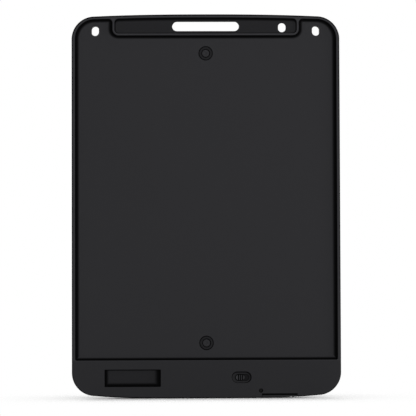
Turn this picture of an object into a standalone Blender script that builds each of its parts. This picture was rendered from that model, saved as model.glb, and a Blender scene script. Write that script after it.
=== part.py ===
"""Ten-inch writing tablet with a pressure-sensitive liquid-crystal film, standing upright.

X runs to the right as seen from the back, Y runs from the back face (zero) to the writing face, Z runs up.
Every piece hangs from the empty named tablet, whose heights start at the lowest point of the case.
The world origin lies on the back face, midway between the two hanging holes.
"""

import math

import bmesh
import bpy
from mathutils import Matrix, Vector

MM = 0.001

# Clearances
FIT_GAP = 0.3 * MM
BOND_GAP = 0.1 * MM
OVERRUN = 2.0 * MM
WELD = 0.5 * MM

# Case
CASE_WIDTH = 180.0 * MM
CASE_HEIGHT = 257.4 * MM
CASE_THICKNESS = 7.0 * MM
CORNER_RADIUS = 15.45 * MM
TOP_CROWN = 1.4 * MM
BOTTOM_CROWN = 1.8 * MM
TOP_CROWN_POWER = 2.5
BOTTOM_CROWN_POWER = 4.0
WALL = 1.2 * MM
PARTING_DEPTH = 3.6 * MM
BACK_EDGE_ROUND = 1.1 * MM
FRONT_EDGE_ROUND = 1.3 * MM

# Sunk panel on the back, and the strip below it
RIM_WIDTH = 2.25 * MM
TOP_RIM_WIDTH = 1.9 * MM
STRIP_HEIGHT = 25.5 * MM
PANEL_DEPTH = 1.8 * MM
PANEL_CORNER = 1.0 * MM
PANEL_LIP_ROUND = 0.4 * MM
PANEL_COVE = 0.6 * MM

# Pocket along the top of the back, and the ridge round it
POCKET_SIDE_INSET = 28.8 * MM
POCKET_DROP = 12.5 * MM
POCKET_DEPTH = 1.0 * MM
POCKET_CORNER = 2.6 * MM
POCKET_LIP_ROUND = 0.3 * MM
RIDGE_WIDTH = 1.4 * MM
RIDGE_CORNER = 4.2 * MM
RIDGE_FILLET = 2.6 * MM

# Finger slot through the pocket, and the lip of the front tub that shows in it
SLOT_HALF_LENGTH = 22.45 * MM
SLOT_HEIGHT = 7.3 * MM
SLOT_RISE = 0.4 * MM
SLOT_LIP = 1.0 * MM

# Oval holes: width, height, and places from the edges of the case
HANG_HOLE_WIDTH = 5.0 * MM
HANG_HOLE_HEIGHT = 6.8 * MM
HANG_HOLE_INSET = 15.8 * MM
HANG_HOLE_DROP = 10.95 * MM
STRING_HOLE_WIDTH = 5.2 * MM
STRING_HOLE_HEIGHT = 6.4 * MM
STRING_HOLE_INSET = 9.85 * MM
STRING_HOLE_DROP = 8.94 * MM

# Label recess in the strip, to the left of the board
LABEL_LENGTH = 37.5 * MM
LABEL_HEIGHT = 11.5 * MM
LABEL_DEPTH = 2.0 * MM
LABEL_CORNER = 0.5 * MM
LABEL_BOARD_GAP = 10.7 * MM
LABEL_BOTTOM = 7.8 * MM

# Ring magnets on the centreline
MAGNET_DIAMETER = 9.0 * MM
MAGNET_THICKNESS = 1.2 * MM
MAGNET_POST_DIAMETER = 5.0 * MM
MAGNET_POST_DIMPLE = 1.6 * MM
MAGNET_POST_DIMPLE_DEPTH = 0.2 * MM
MAGNET_TOP_DROP = 26.2 * MM
MAGNET_BOTTOM_RISE = 36.8 * MM
MAGNET_FLOOR = 0.8 * MM

# Writing window and the stylus trough of the bezel
BEZEL_SIDE = 12.0 * MM
BEZEL_TOP = 25.4 * MM
BEZEL_BOTTOM = 33.0 * MM
WINDOW_CORNER = 3.0 * MM
WINDOW_BEVEL = 0.7 * MM
TUB_FLOOR = 1.0 * MM
TROUGH_CORNER = 1.4 * MM

# Film stack, from the bezel inwards
FILM_MARGIN = 2.0 * MM
FILM_TAIL_MARGIN = 4.0 * MM
FILM_THICKNESS = 0.4 * MM
FILM_CORNER = 2.0 * MM
TAPE_THICKNESS = 0.2 * MM
TAPE_WIDTH = 1.4 * MM
BLACK_SHEET_THICKNESS = 0.2 * MM
PAD_MARGIN = 1.0 * MM
RIB_WIDTH = 1.0 * MM
TAIL_WIDTH = 12.0 * MM
TAIL_THICKNESS = 0.2 * MM
TAIL_OVERLAP = 3.0 * MM

# Circuit board, with the place of its left end and its top under the panel's step
BOARD_LEFT = -20.0 * MM
BOARD_RIGHT = 33.0 * MM
BOARD_BOTTOM = 4.5 * MM
BOARD_TOP = 22.5 * MM
BOARD_THICKNESS = 0.8 * MM
BOARD_CORNER = 1.0 * MM
BOARD_DEPTH = 3.7 * MM

# Erase key and the switch under it
BUTTON_LENGTH = 24.0 * MM
BUTTON_HEIGHT = 8.0 * MM
BUTTON_RISE = 15.0 * MM
BUTTON_TRAVEL = 0.4 * MM
BUTTON_SKIN = 1.0 * MM
BUTTON_FLANGE = 0.8 * MM
BUTTON_FLANGE_THICKNESS = 0.5 * MM
BUTTON_EDGE_ROUND = 0.35 * MM
NUB_DIAMETER = 3.0 * MM
TACT_LENGTH = 4.4 * MM
TACT_HEIGHT = 3.4 * MM
TACT_THICKNESS = 0.6 * MM
PLUNGER_DIAMETER = 2.0 * MM
PLUNGER_LENGTH = 0.4 * MM

# Lock catch and its switch
LOCK_CENTRE = 23.7 * MM
LOCK_RISE = 13.8 * MM
LOCK_TRAVEL = 2.6 * MM
LOCK_DISH_LENGTH = 14.0 * MM
LOCK_DISH_HEIGHT = 8.7 * MM
LOCK_DISH_DEPTH = 0.4 * MM
THUMB_LENGTH = 6.2 * MM
THUMB_HEIGHT = 3.8 * MM
THUMB_SUNK = 0.4 * MM
THUMB_FLANGE = 0.9 * MM
THUMB_FLANGE_THICKNESS = 0.6 * MM
THUMB_GROOVES = 3
THUMB_GROOVE_PITCH = 1.45 * MM
THUMB_GROOVE_WIDTH = 0.6 * MM
THUMB_GROOVE_DEPTH = 0.4 * MM
SWITCH_HEIGHT = 3.6 * MM
SWITCH_END = 1.2 * MM
ACTUATOR_LENGTH = 1.2 * MM
ACTUATOR_HEIGHT = 1.0 * MM
ACTUATOR_SUNK = 0.6 * MM

# Coin cell and its drawer
CELL_DIAMETER = 20.0 * MM
CELL_THICKNESS = 2.5 * MM
CELL_FACE_INSET = 1.0 * MM
CELL_STEP = 0.25 * MM
CELL_STEP_DEPTH = 0.7 * MM
DRAWER_CENTRE = 48.8 * MM
DRAWER_DEPTH = 2.05 * MM
TRAY_WALL = 1.3 * MM
TRAY_LEDGE = 1.0 * MM
TRAY_LEDGE_THICKNESS = 0.35 * MM
TRAY_ARM_RISE = 6.6 * MM
LIP_HEIGHT = 2.0 * MM
CATCH_LENGTH = 4.0 * MM
CATCH_HEIGHT = 2.8 * MM
NICK_WIDTH = 0.8 * MM
NICK_HEIGHT = 0.9 * MM
NOTCH_HEIGHT = 3.1 * MM
EAR_THICKNESS = 0.8 * MM
EAR_HEIGHT = 7.0 * MM
EAR_PRONG = 1.2 * MM

# Cell contacts
CONTACT_THICKNESS = 0.2 * MM
CONTACT_WIDTH = 2.4 * MM
CONTACT_FOOT = 3.0 * MM
CONTACT_SLOPE = 1.5 * MM
CONTACT_BOARD_END = 1.5 * MM
CONTACT_NEGATIVE_DROP = 4.0 * MM
CONTACT_POSITIVE_LIFT = 4.1 * MM
CONTACT_TIP_HALF = 4.0 * MM

# Screws
DRAWER_SCREW_DIAMETER = 1.2 * MM
DRAWER_SCREW_HEAD = 2.0 * MM
DRAWER_SCREW_HEAD_THICKNESS = 0.8 * MM
DRAWER_SCREW_SUNK = 0.9 * MM
DRAWER_SCREW_RISE = 5.0 * MM
DRAWER_BOSS_DIAMETER = 3.8 * MM
BOARD_SCREW_DIAMETER = 1.4 * MM
BOARD_SCREW_HEAD = 2.8 * MM
BOARD_SCREW_HEAD_THICKNESS = 0.6 * MM
BOARD_BOSS_DIAMETER = 4.0 * MM
BOARD_SCREW_SIDE = 3.0 * MM
BOARD_SCREW_RIGHT_SIDE = 15.5 * MM
BOARD_SCREW_RIGHT_RISE = 2.6 * MM
SCREW_TIP_SKIN = 0.7 * MM
CROSS_WIDTH = 0.35 * MM
CROSS_DEPTH = 0.35 * MM
CROSS_SPAN_SHARE = 0.7

# Electronics on the back of the board, placed by shares of its width and height
CHIP_SIZE = (5.0 * MM, 4.4 * MM)
CHIP_THICKNESS = 1.1 * MM
CHIP_PLACE_SHARES = (0.264, 0.611)
COIL_DIAMETER = 4.6 * MM
COIL_THICKNESS = 1.4 * MM
COIL_FLANGE = 0.35 * MM
COIL_WAIST = 0.6 * MM
COIL_PLACE_SHARES = (0.434, 0.583)
CAPACITOR_SIZE = (2.0 * MM, 1.2 * MM)
CAPACITOR_THICKNESS = 0.8 * MM
CAPACITOR_PLACE_SHARES = {"capacitor_left": (0.17, 0.25), "capacitor_right": (0.557, 0.417)}

# Smoothness
CORNER_STEPS = 12
SMALL_STEPS = 5
CROWN_STEPS = 8
ROUND_STEPS = 3
CIRCLE_STEPS = 30
OVAL_STEPS = 10
SHARP_ANGLE = math.radians(35.0)
MITRE_LEAST_SHARE = 0.5

# Levels worked out from the sizes above, as depths from the back face
STRIP_INSIDE = WALL
PANEL_INSIDE = PANEL_DEPTH + WALL
POCKET_INSIDE = POCKET_DEPTH + WALL
BEZEL_START = PARTING_DEPTH + FIT_GAP
BEZEL_INSIDE = CASE_THICKNESS - WALL
TUB_BACK = POCKET_INSIDE + FIT_GAP
TAPE_BACK = BEZEL_INSIDE - BOND_GAP - TAPE_THICKNESS
FILM_BACK = TAPE_BACK - BOND_GAP - FILM_THICKNESS
BLACK_SHEET_BACK = FILM_BACK - BOND_GAP - BLACK_SHEET_THICKNESS
RIB_END = BLACK_SHEET_BACK - FIT_GAP
BOARD_FRONT = BOARD_DEPTH + BOARD_THICKNESS
MAGNET_POCKET_END = PANEL_DEPTH + MAGNET_THICKNESS + FIT_GAP
HALF_WIDTH = CASE_WIDTH / 2
POCKET_HALF_LENGTH = HALF_WIDTH - POCKET_SIDE_INSET
TROUGH_WALL = FIT_GAP + WALL
HANG_HOLE_X = HALF_WIDTH - HANG_HOLE_INSET
HANG_HOLE_Z = CASE_HEIGHT - HANG_HOLE_DROP
STRING_HOLE_X = POCKET_HALF_LENGTH - STRING_HOLE_INSET
STRING_HOLE_Z = CASE_HEIGHT - STRING_HOLE_DROP
POCKET_BOTTOM = CASE_HEIGHT - POCKET_DROP
SLOT_BOTTOM = POCKET_BOTTOM + SLOT_RISE
SLOT_TOP = SLOT_BOTTOM + SLOT_HEIGHT
WINDOW_HALF = HALF_WIDTH - BEZEL_SIDE
WINDOW_TOP = CASE_HEIGHT - BEZEL_TOP
FILM_HALF = WINDOW_HALF + FILM_MARGIN
FILM_TOP = WINDOW_TOP + FILM_MARGIN
FILM_BOTTOM = BEZEL_BOTTOM - FILM_TAIL_MARGIN
SHEET_BOTTOM = BEZEL_BOTTOM - BOND_GAP
MAGNET_HEIGHTS = {"magnet_top": CASE_HEIGHT - MAGNET_TOP_DROP, "magnet_bottom": MAGNET_BOTTOM_RISE}
THUMB_REST = LOCK_CENTRE - LOCK_TRAVEL / 2
LOCK_SLOT_LENGTH = THUMB_LENGTH + LOCK_TRAVEL + 2 * FIT_GAP
LOCK_SLOT_HEIGHT = THUMB_HEIGHT + 2 * FIT_GAP
FLANGE_BACK = STRIP_INSIDE + FIT_GAP
FLANGE_FRONT = FLANGE_BACK + THUMB_FLANGE_THICKNESS
SWITCH_BACK = FLANGE_FRONT + FIT_GAP
TRAY_HALF = CELL_DIAMETER / 2 + FIT_GAP + TRAY_WALL
CELL_BACK = DRAWER_DEPTH + TRAY_LEDGE_THICKNESS + FIT_GAP / 2
TRAY_FRONT = CELL_BACK + CELL_THICKNESS
CELL_RISE = LIP_HEIGHT + 3 * FIT_GAP + CELL_DIAMETER / 2
DRAWER_SCREW_X = DRAWER_CENTRE - TRAY_HALF - FIT_GAP - DRAWER_SCREW_DIAMETER / 2
EAR_LEFT = DRAWER_SCREW_X - DRAWER_SCREW_DIAMETER / 2 - FIT_GAP - EAR_PRONG
BOARD_SCREW_PLACES = {
    "board_screw_left": (BOARD_LEFT + BOARD_SCREW_SIDE, BUTTON_RISE),
    "board_screw_right": (BOARD_RIGHT - BOARD_SCREW_RIGHT_SIDE, BOARD_BOTTOM + BOARD_SCREW_RIGHT_RISE),
}


def clear_scene():
    """Remove whatever the open file holds."""
    for thing in list(bpy.data.objects):
        bpy.data.objects.remove(thing, do_unlink=True)


def finish(name, colour, roughness, metallic=0.0):
    """A Principled material in one colour."""
    made = bpy.data.materials.new(name)
    made.use_nodes = True
    shader = made.node_tree.nodes["Principled BSDF"]
    shader.inputs["Base Color"].default_value = (*colour, 1.0)
    shader.inputs["Roughness"].default_value = roughness
    shader.inputs["Metallic"].default_value = metallic
    made.diffuse_color = (*colour, 1.0)
    return made


def top_edge(x, inset=0.0):
    """Height of the crowned top edge at x, moved inwards by inset."""
    reach = HALF_WIDTH - CORNER_RADIUS
    return CASE_HEIGHT - inset - TOP_CROWN * min(abs(x) / reach, 1.0) ** TOP_CROWN_POWER


def bottom_edge(x, inset=0.0):
    """Height of the crowned bottom edge at x, moved inwards by inset."""
    reach = HALF_WIDTH - CORNER_RADIUS
    return inset + BOTTOM_CROWN * min(abs(x) / reach, 1.0) ** BOTTOM_CROWN_POWER


def arc(centre, radius, start, end, steps):
    """Points on an arc of the XZ plane, from one angle to another in degrees, ends included."""
    angles = [math.radians(start + (end - start) * step / steps) for step in range(steps + 1)]
    return [(centre[0] + radius * math.cos(a), centre[1] + radius * math.sin(a)) for a in angles]


def case_loop(inset=0.0):
    """The case's outline moved inwards by inset: straight sides, round corners and crowned ends."""
    reach = HALF_WIDTH - CORNER_RADIUS
    radius = CORNER_RADIUS - inset
    low = bottom_edge(reach) + CORNER_RADIUS
    high = top_edge(reach) - CORNER_RADIUS
    across = [reach * (2 * step / CROWN_STEPS - 1) for step in range(1, CROWN_STEPS)]
    loop = arc((-reach, low), radius, 180, 270, CORNER_STEPS)
    loop += [(x, bottom_edge(x, inset)) for x in across]
    loop += arc((reach, low), radius, 270, 360, CORNER_STEPS)
    loop += arc((reach, high), radius, 0, 90, CORNER_STEPS)
    loop += [(-x, top_edge(x, inset)) for x in across]
    loop += arc((-reach, high), radius, 90, 180, CORNER_STEPS)
    return loop


def rounded_loop(corners, steps=SMALL_STEPS):
    """A closed outline through corners given as x, z and radius, run anticlockwise."""
    loop = []
    for index, (x, z, radius) in enumerate(corners):
        here = Vector((x, z))
        if radius == 0:
            loop.append((x, z))
            continue
        into = (here - Vector(corners[index - 1][:2])).normalized()
        out = (Vector(corners[(index + 1) % len(corners)][:2]) - here).normalized()
        turn = math.atan2(into.x * out.y - into.y * out.x, into.dot(out))
        start = here - into * radius * math.tan(abs(turn) / 2)
        side = math.copysign(radius, turn)
        centre = start + Vector((-into.y, into.x)) * side
        for step in range(steps + 1):
            point = centre + Matrix.Rotation(turn * step / steps, 2) @ (start - centre)
            loop.append((point.x, point.y))
    return loop


def box_loop(left, right, bottom, top, radius=0.0):
    """A rectangle, with round corners if a radius is given."""
    corners = [(left, bottom, radius), (right, bottom, radius), (right, top, radius), (left, top, radius)]
    return rounded_loop(corners)


def pill_loop(x, z, width, height, steps=OVAL_STEPS):
    """An oval of straight sides and half-round ends, round its centre, lying or standing."""
    radius = min(width, height) / 2
    side = width / 2 - radius
    rise = height / 2 - radius
    if side > rise:
        loop = arc((x + side, z), radius, -90, 90, steps)
        return loop + arc((x - side, z), radius, 90, 270, steps)
    loop = arc((x, z + rise), radius, 0, 180, steps)
    return loop + arc((x, z - rise), radius, 180, 360, steps)


def circle_loop(x, z, radius, steps=CIRCLE_STEPS):
    """A circle in the XZ plane."""
    angles = [math.tau * step / steps for step in range(steps)]
    return [(x + radius * math.cos(a), z + radius * math.sin(a)) for a in angles]


def moved_out(loop, distance):
    """The loop with each point moved outwards along the mean of its two sides' normals."""
    moved = []
    for index, point in enumerate(loop):
        here = Vector(point)
        into = (here - Vector(loop[index - 1])).normalized()
        out = (Vector(loop[(index + 1) % len(loop)]) - here).normalized()
        mean = Vector((into.y + out.y, -into.x - out.x)).normalized()
        reach = distance / max(mean.dot(Vector((into.y, -into.x))), MITRE_LEAST_SHARE)
        moved.append((here.x + mean.x * reach, here.y + mean.y * reach))
    return moved


def quarter(radius):
    """Steps of a quarter round: how far each lies inside the edge, and how deep."""
    angles = [math.pi / 2 * step / ROUND_STEPS for step in range(ROUND_STEPS + 1)]
    return [(radius * (1 - math.sin(a)), radius * (1 - math.cos(a))) for a in angles]


def stack(rings):
    """A closed body from outlines at rising depths, each given as depth and loop, capped at both ends."""
    shape = bmesh.new()
    rows = [[shape.verts.new((x, y, z)) for x, z in loop] for y, loop in rings]
    for near, far in zip(rows, rows[1:]):
        for index, vert in enumerate(near):
            after = (index + 1) % len(near)
            shape.faces.new((vert, near[after], far[after], far[index]))
    shape.faces.new(rows[0])
    shape.faces.new(reversed(rows[-1]))
    bmesh.ops.recalc_face_normals(shape, faces=shape.faces)
    return shape


def prism(loop, back, front):
    """An outline carried straight from one depth to another."""
    return stack([(back, loop), (front, loop)])


def turned(x, z, profile):
    """A round body on an axis along Y, from depths and radii."""
    return stack([(y, circle_loop(x, z, radius)) for y, radius in profile])


def block(left, right, back, front, bottom, top):
    """A plain box between six planes."""
    return prism(box_loop(left, right, bottom, top), back, front)


def case_block(back, front, back_round=0.0, front_round=0.0):
    """The full outline of the case between two depths, with either outer edge rounded."""
    starts = quarter(back_round) if back_round else [(0, 0)]
    ends = quarter(front_round) if front_round else [(0, 0)]
    rings = [(back + rise, case_loop(inset)) for inset, rise in starts]
    rings += [(front - rise, case_loop(inset)) for inset, rise in reversed(ends)]
    return stack(rings)


def sunk_block(loop, depth, lip, cove=0.0):
    """A cutter for a recess in the back face, its mouth rounded outwards and its floor edge coved."""
    rings = [(-OVERRUN, moved_out(loop, lip))]
    rings += [(rise, moved_out(loop, inset)) for inset, rise in quarter(lip)]
    if cove:
        rings += [(depth - rise, moved_out(loop, -inset)) for inset, rise in reversed(quarter(cove))]
    else:
        rings.append((depth, loop))
    return stack(rings)


def to_mesh(shape, name):
    """Turn a working shape into mesh data."""
    mesh = bpy.data.meshes.new(name)
    shape.to_mesh(mesh)
    shape.free()
    return mesh


def combine(base, shapes, operation):
    """Cut the shapes out of the base, add them to it or keep what they share with it, one by one."""
    target = bpy.data.objects.new("working_target", to_mesh(base, "working_target"))
    bpy.context.scene.collection.objects.link(target)
    for shape in shapes:
        tool = bpy.data.objects.new("working_tool", to_mesh(shape, "working_tool"))
        bpy.context.scene.collection.objects.link(tool)
        step = target.modifiers.new("combine", "BOOLEAN")
        step.operation = operation
        step.solver = "EXACT"
        step.object = tool
        view = bpy.context.evaluated_depsgraph_get()
        result = bpy.data.meshes.new_from_object(target.evaluated_get(view))
        target.modifiers.remove(step)
        target.data = result
        bpy.data.objects.remove(tool, do_unlink=True)
    shape = bmesh.new()
    shape.from_mesh(target.data)
    bpy.data.objects.remove(target, do_unlink=True)
    return shape


def cut(base, *shapes):
    """The base with each shape taken out of it."""
    return combine(base, shapes, "DIFFERENCE")


def add(base, *shapes):
    """The base with each shape joined to it."""
    return combine(base, shapes, "UNION")


def place(name, shape, material, origin=(0.0, 0.0, 0.0), parent=None):
    """Make a named piece from a shape in the tablet's axes, with its own origin and parent."""
    carried = Vector(parent["origin"]) if parent else Vector((0.0, 0.0, 0.0))
    bmesh.ops.translate(shape, verts=shape.verts, vec=-Vector(origin))
    mesh = to_mesh(shape, name)
    mesh.materials.append(material)
    mesh.shade_smooth()
    mesh.set_sharp_from_angle(angle=SHARP_ANGLE)
    piece = bpy.data.objects.new(name, mesh)
    bpy.context.scene.collection.objects.link(piece)
    piece.parent = parent or bpy.data.objects["tablet"]
    piece.location = Vector(origin) - carried
    piece["origin"] = tuple(origin)
    return piece


def panel_loop():
    """The sunk panel: inside the rim, round the pocket's ridge and down to the strip."""
    side = HALF_WIDTH - RIM_WIDTH
    shoulder = POCKET_HALF_LENGTH + RIDGE_WIDTH
    reach = HALF_WIDTH - CORNER_RADIUS
    corner_top = top_edge(reach, TOP_RIM_WIDTH)
    shoulder_top = top_edge(shoulder, TOP_RIM_WIDTH)
    ridge_bottom = POCKET_BOTTOM - RIDGE_WIDTH
    corner = CORNER_RADIUS - RIM_WIDTH
    half = [
        (side, STRIP_HEIGHT, PANEL_CORNER),
        (side, corner_top, corner),
        (shoulder, shoulder_top, RIDGE_FILLET),
        (shoulder, ridge_bottom, RIDGE_CORNER),
    ]
    return rounded_loop(half + [(-x, z, radius) for x, z, radius in reversed(half)])


def pocket_loop(inset=0.0):
    """The pocket behind the stylus trough, its top edge parallel to the crowned top of the case."""
    half = POCKET_HALF_LENGTH - inset
    radius = max(POCKET_CORNER - inset, TROUGH_CORNER)
    top = TOP_RIM_WIDTH + inset
    across = [half * (1 - 2 * step / CROWN_STEPS) for step in range(1, CROWN_STEPS)]
    corners = [(-half, POCKET_BOTTOM + inset, radius), (half, POCKET_BOTTOM + inset, radius)]
    corners.append((half, top_edge(half, top), radius))
    corners += [(x, top_edge(x, top), 0.0) for x in across]
    corners.append((-half, top_edge(half, top), radius))
    return rounded_loop(corners)


def hang_hole_loops(grown=0.0):
    """The two hanging holes in the top corners."""
    size = (HANG_HOLE_WIDTH + 2 * grown, HANG_HOLE_HEIGHT + 2 * grown)
    return [pill_loop(side * HANG_HOLE_X, HANG_HOLE_Z, *size) for side in (-1, 1)]


def string_hole_loop():
    """The oval hole at the end of the trough."""
    return pill_loop(STRING_HOLE_X, STRING_HOLE_Z, STRING_HOLE_WIDTH, STRING_HOLE_HEIGHT)


def slot_loop(lip=0.0):
    """The finger slot, its lower edge raised by lip."""
    height = SLOT_HEIGHT - lip
    return pill_loop(0.0, SLOT_TOP - height / 2, 2 * SLOT_HALF_LENGTH, height)


def strip_room():
    """The room inside the strip: the inner outline, cut off under the panel's step."""
    top = STRIP_HEIGHT - WALL
    low = [point for point in case_loop(WALL) if point[1] < top]
    half = max(point[0] for point in low)
    rightmost = max(index for index, point in enumerate(low) if point[0] > 0)
    return low[: rightmost + 1] + [(half, top), (-half, top)] + low[rightmost + 1 :]


def magnet_seats():
    """Inner bosses behind the ring magnets, and the ring-shaped pockets with their dimpled posts."""
    bosses, pockets, dimples = [], [], []
    hole = MAGNET_DIAMETER / 2 + FIT_GAP
    post = MAGNET_POST_DIAMETER / 2
    for height in MAGNET_HEIGHTS.values():
        end = MAGNET_POCKET_END + MAGNET_FLOOR
        bosses.append(prism(circle_loop(0.0, height, hole + WALL), PANEL_INSIDE - WELD, end))
        ring = prism(circle_loop(0.0, height, hole), PANEL_DEPTH - OVERRUN, MAGNET_POCKET_END)
        pin = prism(circle_loop(0.0, height, post), PANEL_DEPTH - 2 * OVERRUN, MAGNET_POCKET_END + OVERRUN)
        pockets.append(cut(ring, pin))
        dimple = [
            (PANEL_DEPTH - OVERRUN, MAGNET_POST_DIMPLE / 2),
            (PANEL_DEPTH, MAGNET_POST_DIMPLE / 2),
            (PANEL_DEPTH + MAGNET_POST_DIMPLE_DEPTH, MAGNET_POST_DIMPLE / 4),
        ]
        dimples.append(turned(0.0, height, dimple))
    return bosses, pockets, dimples


def film_ribs():
    """A low rib frame that carries the film's border."""
    half = WINDOW_HALF - PAD_MARGIN
    outer = box_loop(-half, half, BEZEL_BOTTOM + PAD_MARGIN, WINDOW_TOP - PAD_MARGIN, WINDOW_CORNER)
    inner = moved_out(outer, -RIB_WIDTH)
    frame = prism(outer, PANEL_INSIDE - WELD, RIB_END)
    return cut(frame, prism(inner, PANEL_INSIDE - 2 * WELD, RIB_END + OVERRUN))


def drawer_mouth():
    """The openings that the drawer's end plate, tray and ear leave through."""
    half = TRAY_HALF + FIT_GAP
    left, right = DRAWER_CENTRE - half, DRAWER_CENTRE + half
    notch = block(left, right, -OVERRUN, TRAY_FRONT + FIT_GAP, -OVERRUN, NOTCH_HEIGHT)
    ear_back = DRAWER_DEPTH - FIT_GAP
    ear_front = DRAWER_DEPTH + EAR_THICKNESS + FIT_GAP
    ear = block(EAR_LEFT - FIT_GAP, left + WELD, ear_back, ear_front, -OVERRUN, NOTCH_HEIGHT)
    return [notch, ear]


def label_loop(grown=0.0):
    """The label recess in the strip, grown all round if asked."""
    right = BOARD_LEFT - LABEL_BOARD_GAP + grown
    left = right - LABEL_LENGTH - 2 * grown
    return box_loop(left, right, LABEL_BOTTOM - grown, LABEL_BOTTOM + LABEL_HEIGHT + grown, LABEL_CORNER)


def back_cover(plastic):
    """The rear shell: rim, sunk panel, top pocket, strip, holes, bosses and ribs."""
    over = PARTING_DEPTH + OVERRUN
    shell = case_block(0.0, PARTING_DEPTH, back_round=BACK_EDGE_ROUND)
    shell = cut(shell, prism(case_loop(WALL), PANEL_INSIDE, over), prism(strip_room(), STRIP_INSIDE, over))
    bosses, pockets, dimples = magnet_seats()
    hole_walls = [prism(loop, PANEL_INSIDE - WELD, PARTING_DEPTH) for loop in hang_hole_loops(WALL)]
    label_box = prism(label_loop(WALL), STRIP_INSIDE - WELD, LABEL_DEPTH + WALL)
    shell = add(shell, *hole_walls, label_box, film_ribs(), *bosses)
    shell = cut(shell, sunk_block(panel_loop(), PANEL_DEPTH, PANEL_LIP_ROUND, PANEL_COVE))
    shell = cut(shell, sunk_block(pocket_loop(), POCKET_DEPTH, POCKET_LIP_ROUND))
    shell = cut(shell, prism(pocket_loop(), POCKET_INSIDE, over), *pockets, *dimples)
    holes = [*hang_hole_loops(), string_hole_loop(), slot_loop()]
    shell = cut(shell, *(prism(loop, -OVERRUN, over) for loop in holes))
    shell = cut(shell, sunk_block(label_loop(), LABEL_DEPTH, POCKET_LIP_ROUND))
    dish = pill_loop(LOCK_CENTRE, LOCK_RISE, LOCK_DISH_LENGTH, LOCK_DISH_HEIGHT)
    lock_slot = pill_loop(LOCK_CENTRE, LOCK_RISE, LOCK_SLOT_LENGTH, LOCK_SLOT_HEIGHT)
    dish_block = sunk_block(dish, LOCK_DISH_DEPTH, POCKET_LIP_ROUND)
    shell = cut(shell, dish_block, prism(lock_slot, -OVERRUN, over))
    screw_way = circle_loop(DRAWER_SCREW_X, DRAWER_SCREW_RISE, DRAWER_SCREW_HEAD / 2 + FIT_GAP)
    shell = cut(shell, prism(screw_way, -OVERRUN, over), *drawer_mouth())
    return place("back_cover", shell, plastic)


def window_cutter():
    """The writing window, opened out towards the front by its bevel."""
    loop = box_loop(-WINDOW_HALF, WINDOW_HALF, BEZEL_BOTTOM, WINDOW_TOP, WINDOW_CORNER)
    rings = [
        (BEZEL_INSIDE - OVERRUN, loop),
        (CASE_THICKNESS - WINDOW_BEVEL, loop),
        (CASE_THICKNESS, moved_out(loop, WINDOW_BEVEL)),
        (CASE_THICKNESS + OVERRUN, moved_out(loop, WINDOW_BEVEL)),
    ]
    return stack(rings)


def front_frame(plastic):
    """The bezel: window, stylus trough, key hole, bosses and the drawer's way out."""
    over = CASE_THICKNESS + OVERRUN
    shell = case_block(BEZEL_START, CASE_THICKNESS, front_round=FRONT_EDGE_ROUND)
    shell = cut(shell, prism(case_loop(WALL), BEZEL_START - OVERRUN, BEZEL_INSIDE))
    tub = prism(pocket_loop(FIT_GAP), TUB_BACK, BEZEL_INSIDE + WELD)
    inner_end = BEZEL_INSIDE + WELD
    hole_walls = [prism(loop, BEZEL_START, inner_end) for loop in hang_hole_loops(WALL)]
    board_bosses = [
        prism(circle_loop(x, z, BOARD_BOSS_DIAMETER / 2), BOARD_FRONT + FIT_GAP, inner_end)
        for x, z in BOARD_SCREW_PLACES.values()
    ]
    drawer_loop = circle_loop(DRAWER_SCREW_X, DRAWER_SCREW_RISE, DRAWER_BOSS_DIAMETER / 2)
    drawer_boss = prism(drawer_loop, TRAY_FRONT + FIT_GAP, inner_end)
    shell = add(shell, tub, *hole_walls, *board_bosses, drawer_boss)
    trough = prism(pocket_loop(TROUGH_WALL), TUB_BACK + TUB_FLOOR, over)
    holes = [*hang_hole_loops(), string_hole_loop(), slot_loop(SLOT_LIP)]
    shell = cut(shell, window_cutter(), trough, *(prism(loop, TUB_BACK - OVERRUN, over) for loop in holes))
    key_hole = pill_loop(0.0, BUTTON_RISE, BUTTON_LENGTH + 2 * FIT_GAP, BUTTON_HEIGHT + 2 * FIT_GAP)
    shell = cut(shell, prism(key_hole, BEZEL_INSIDE - OVERRUN, over))
    tip = CASE_THICKNESS - SCREW_TIP_SKIN + FIT_GAP
    for x, z in BOARD_SCREW_PLACES.values():
        shell = cut(shell, prism(circle_loop(x, z, BOARD_SCREW_DIAMETER / 2 + FIT_GAP), BOARD_FRONT, tip))
    bore = circle_loop(DRAWER_SCREW_X, DRAWER_SCREW_RISE, DRAWER_SCREW_DIAMETER / 2 + FIT_GAP)
    shell = cut(shell, prism(bore, TRAY_FRONT, tip), *drawer_mouth())
    return place("front_frame", shell, plastic)


def screw(name, x, z, back, shank_diameter, head_diameter, head_thickness, metal):
    """A round-headed screw with a cross recess, driven in from the back."""
    tip = CASE_THICKNESS - SCREW_TIP_SKIN
    seat = back + head_thickness
    profile = [
        (back, head_diameter / 2 - CROSS_WIDTH / 2),
        (back + CROSS_WIDTH / 2, head_diameter / 2),
        (seat, head_diameter / 2),
        (seat, shank_diameter / 2),
        (tip - shank_diameter / 2, shank_diameter / 2),
        (tip, shank_diameter / 4),
    ]
    half = head_diameter * CROSS_SPAN_SHARE / 2
    arm = CROSS_WIDTH / 2
    across = block(x - half, x + half, back - OVERRUN, back + CROSS_DEPTH, z - arm, z + arm)
    upright = block(x - arm, x + arm, back - OVERRUN, back + CROSS_DEPTH, z - half, z + half)
    return place(name, cut(turned(x, z, profile), across, upright), metal, origin=(x, back, z))


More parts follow.
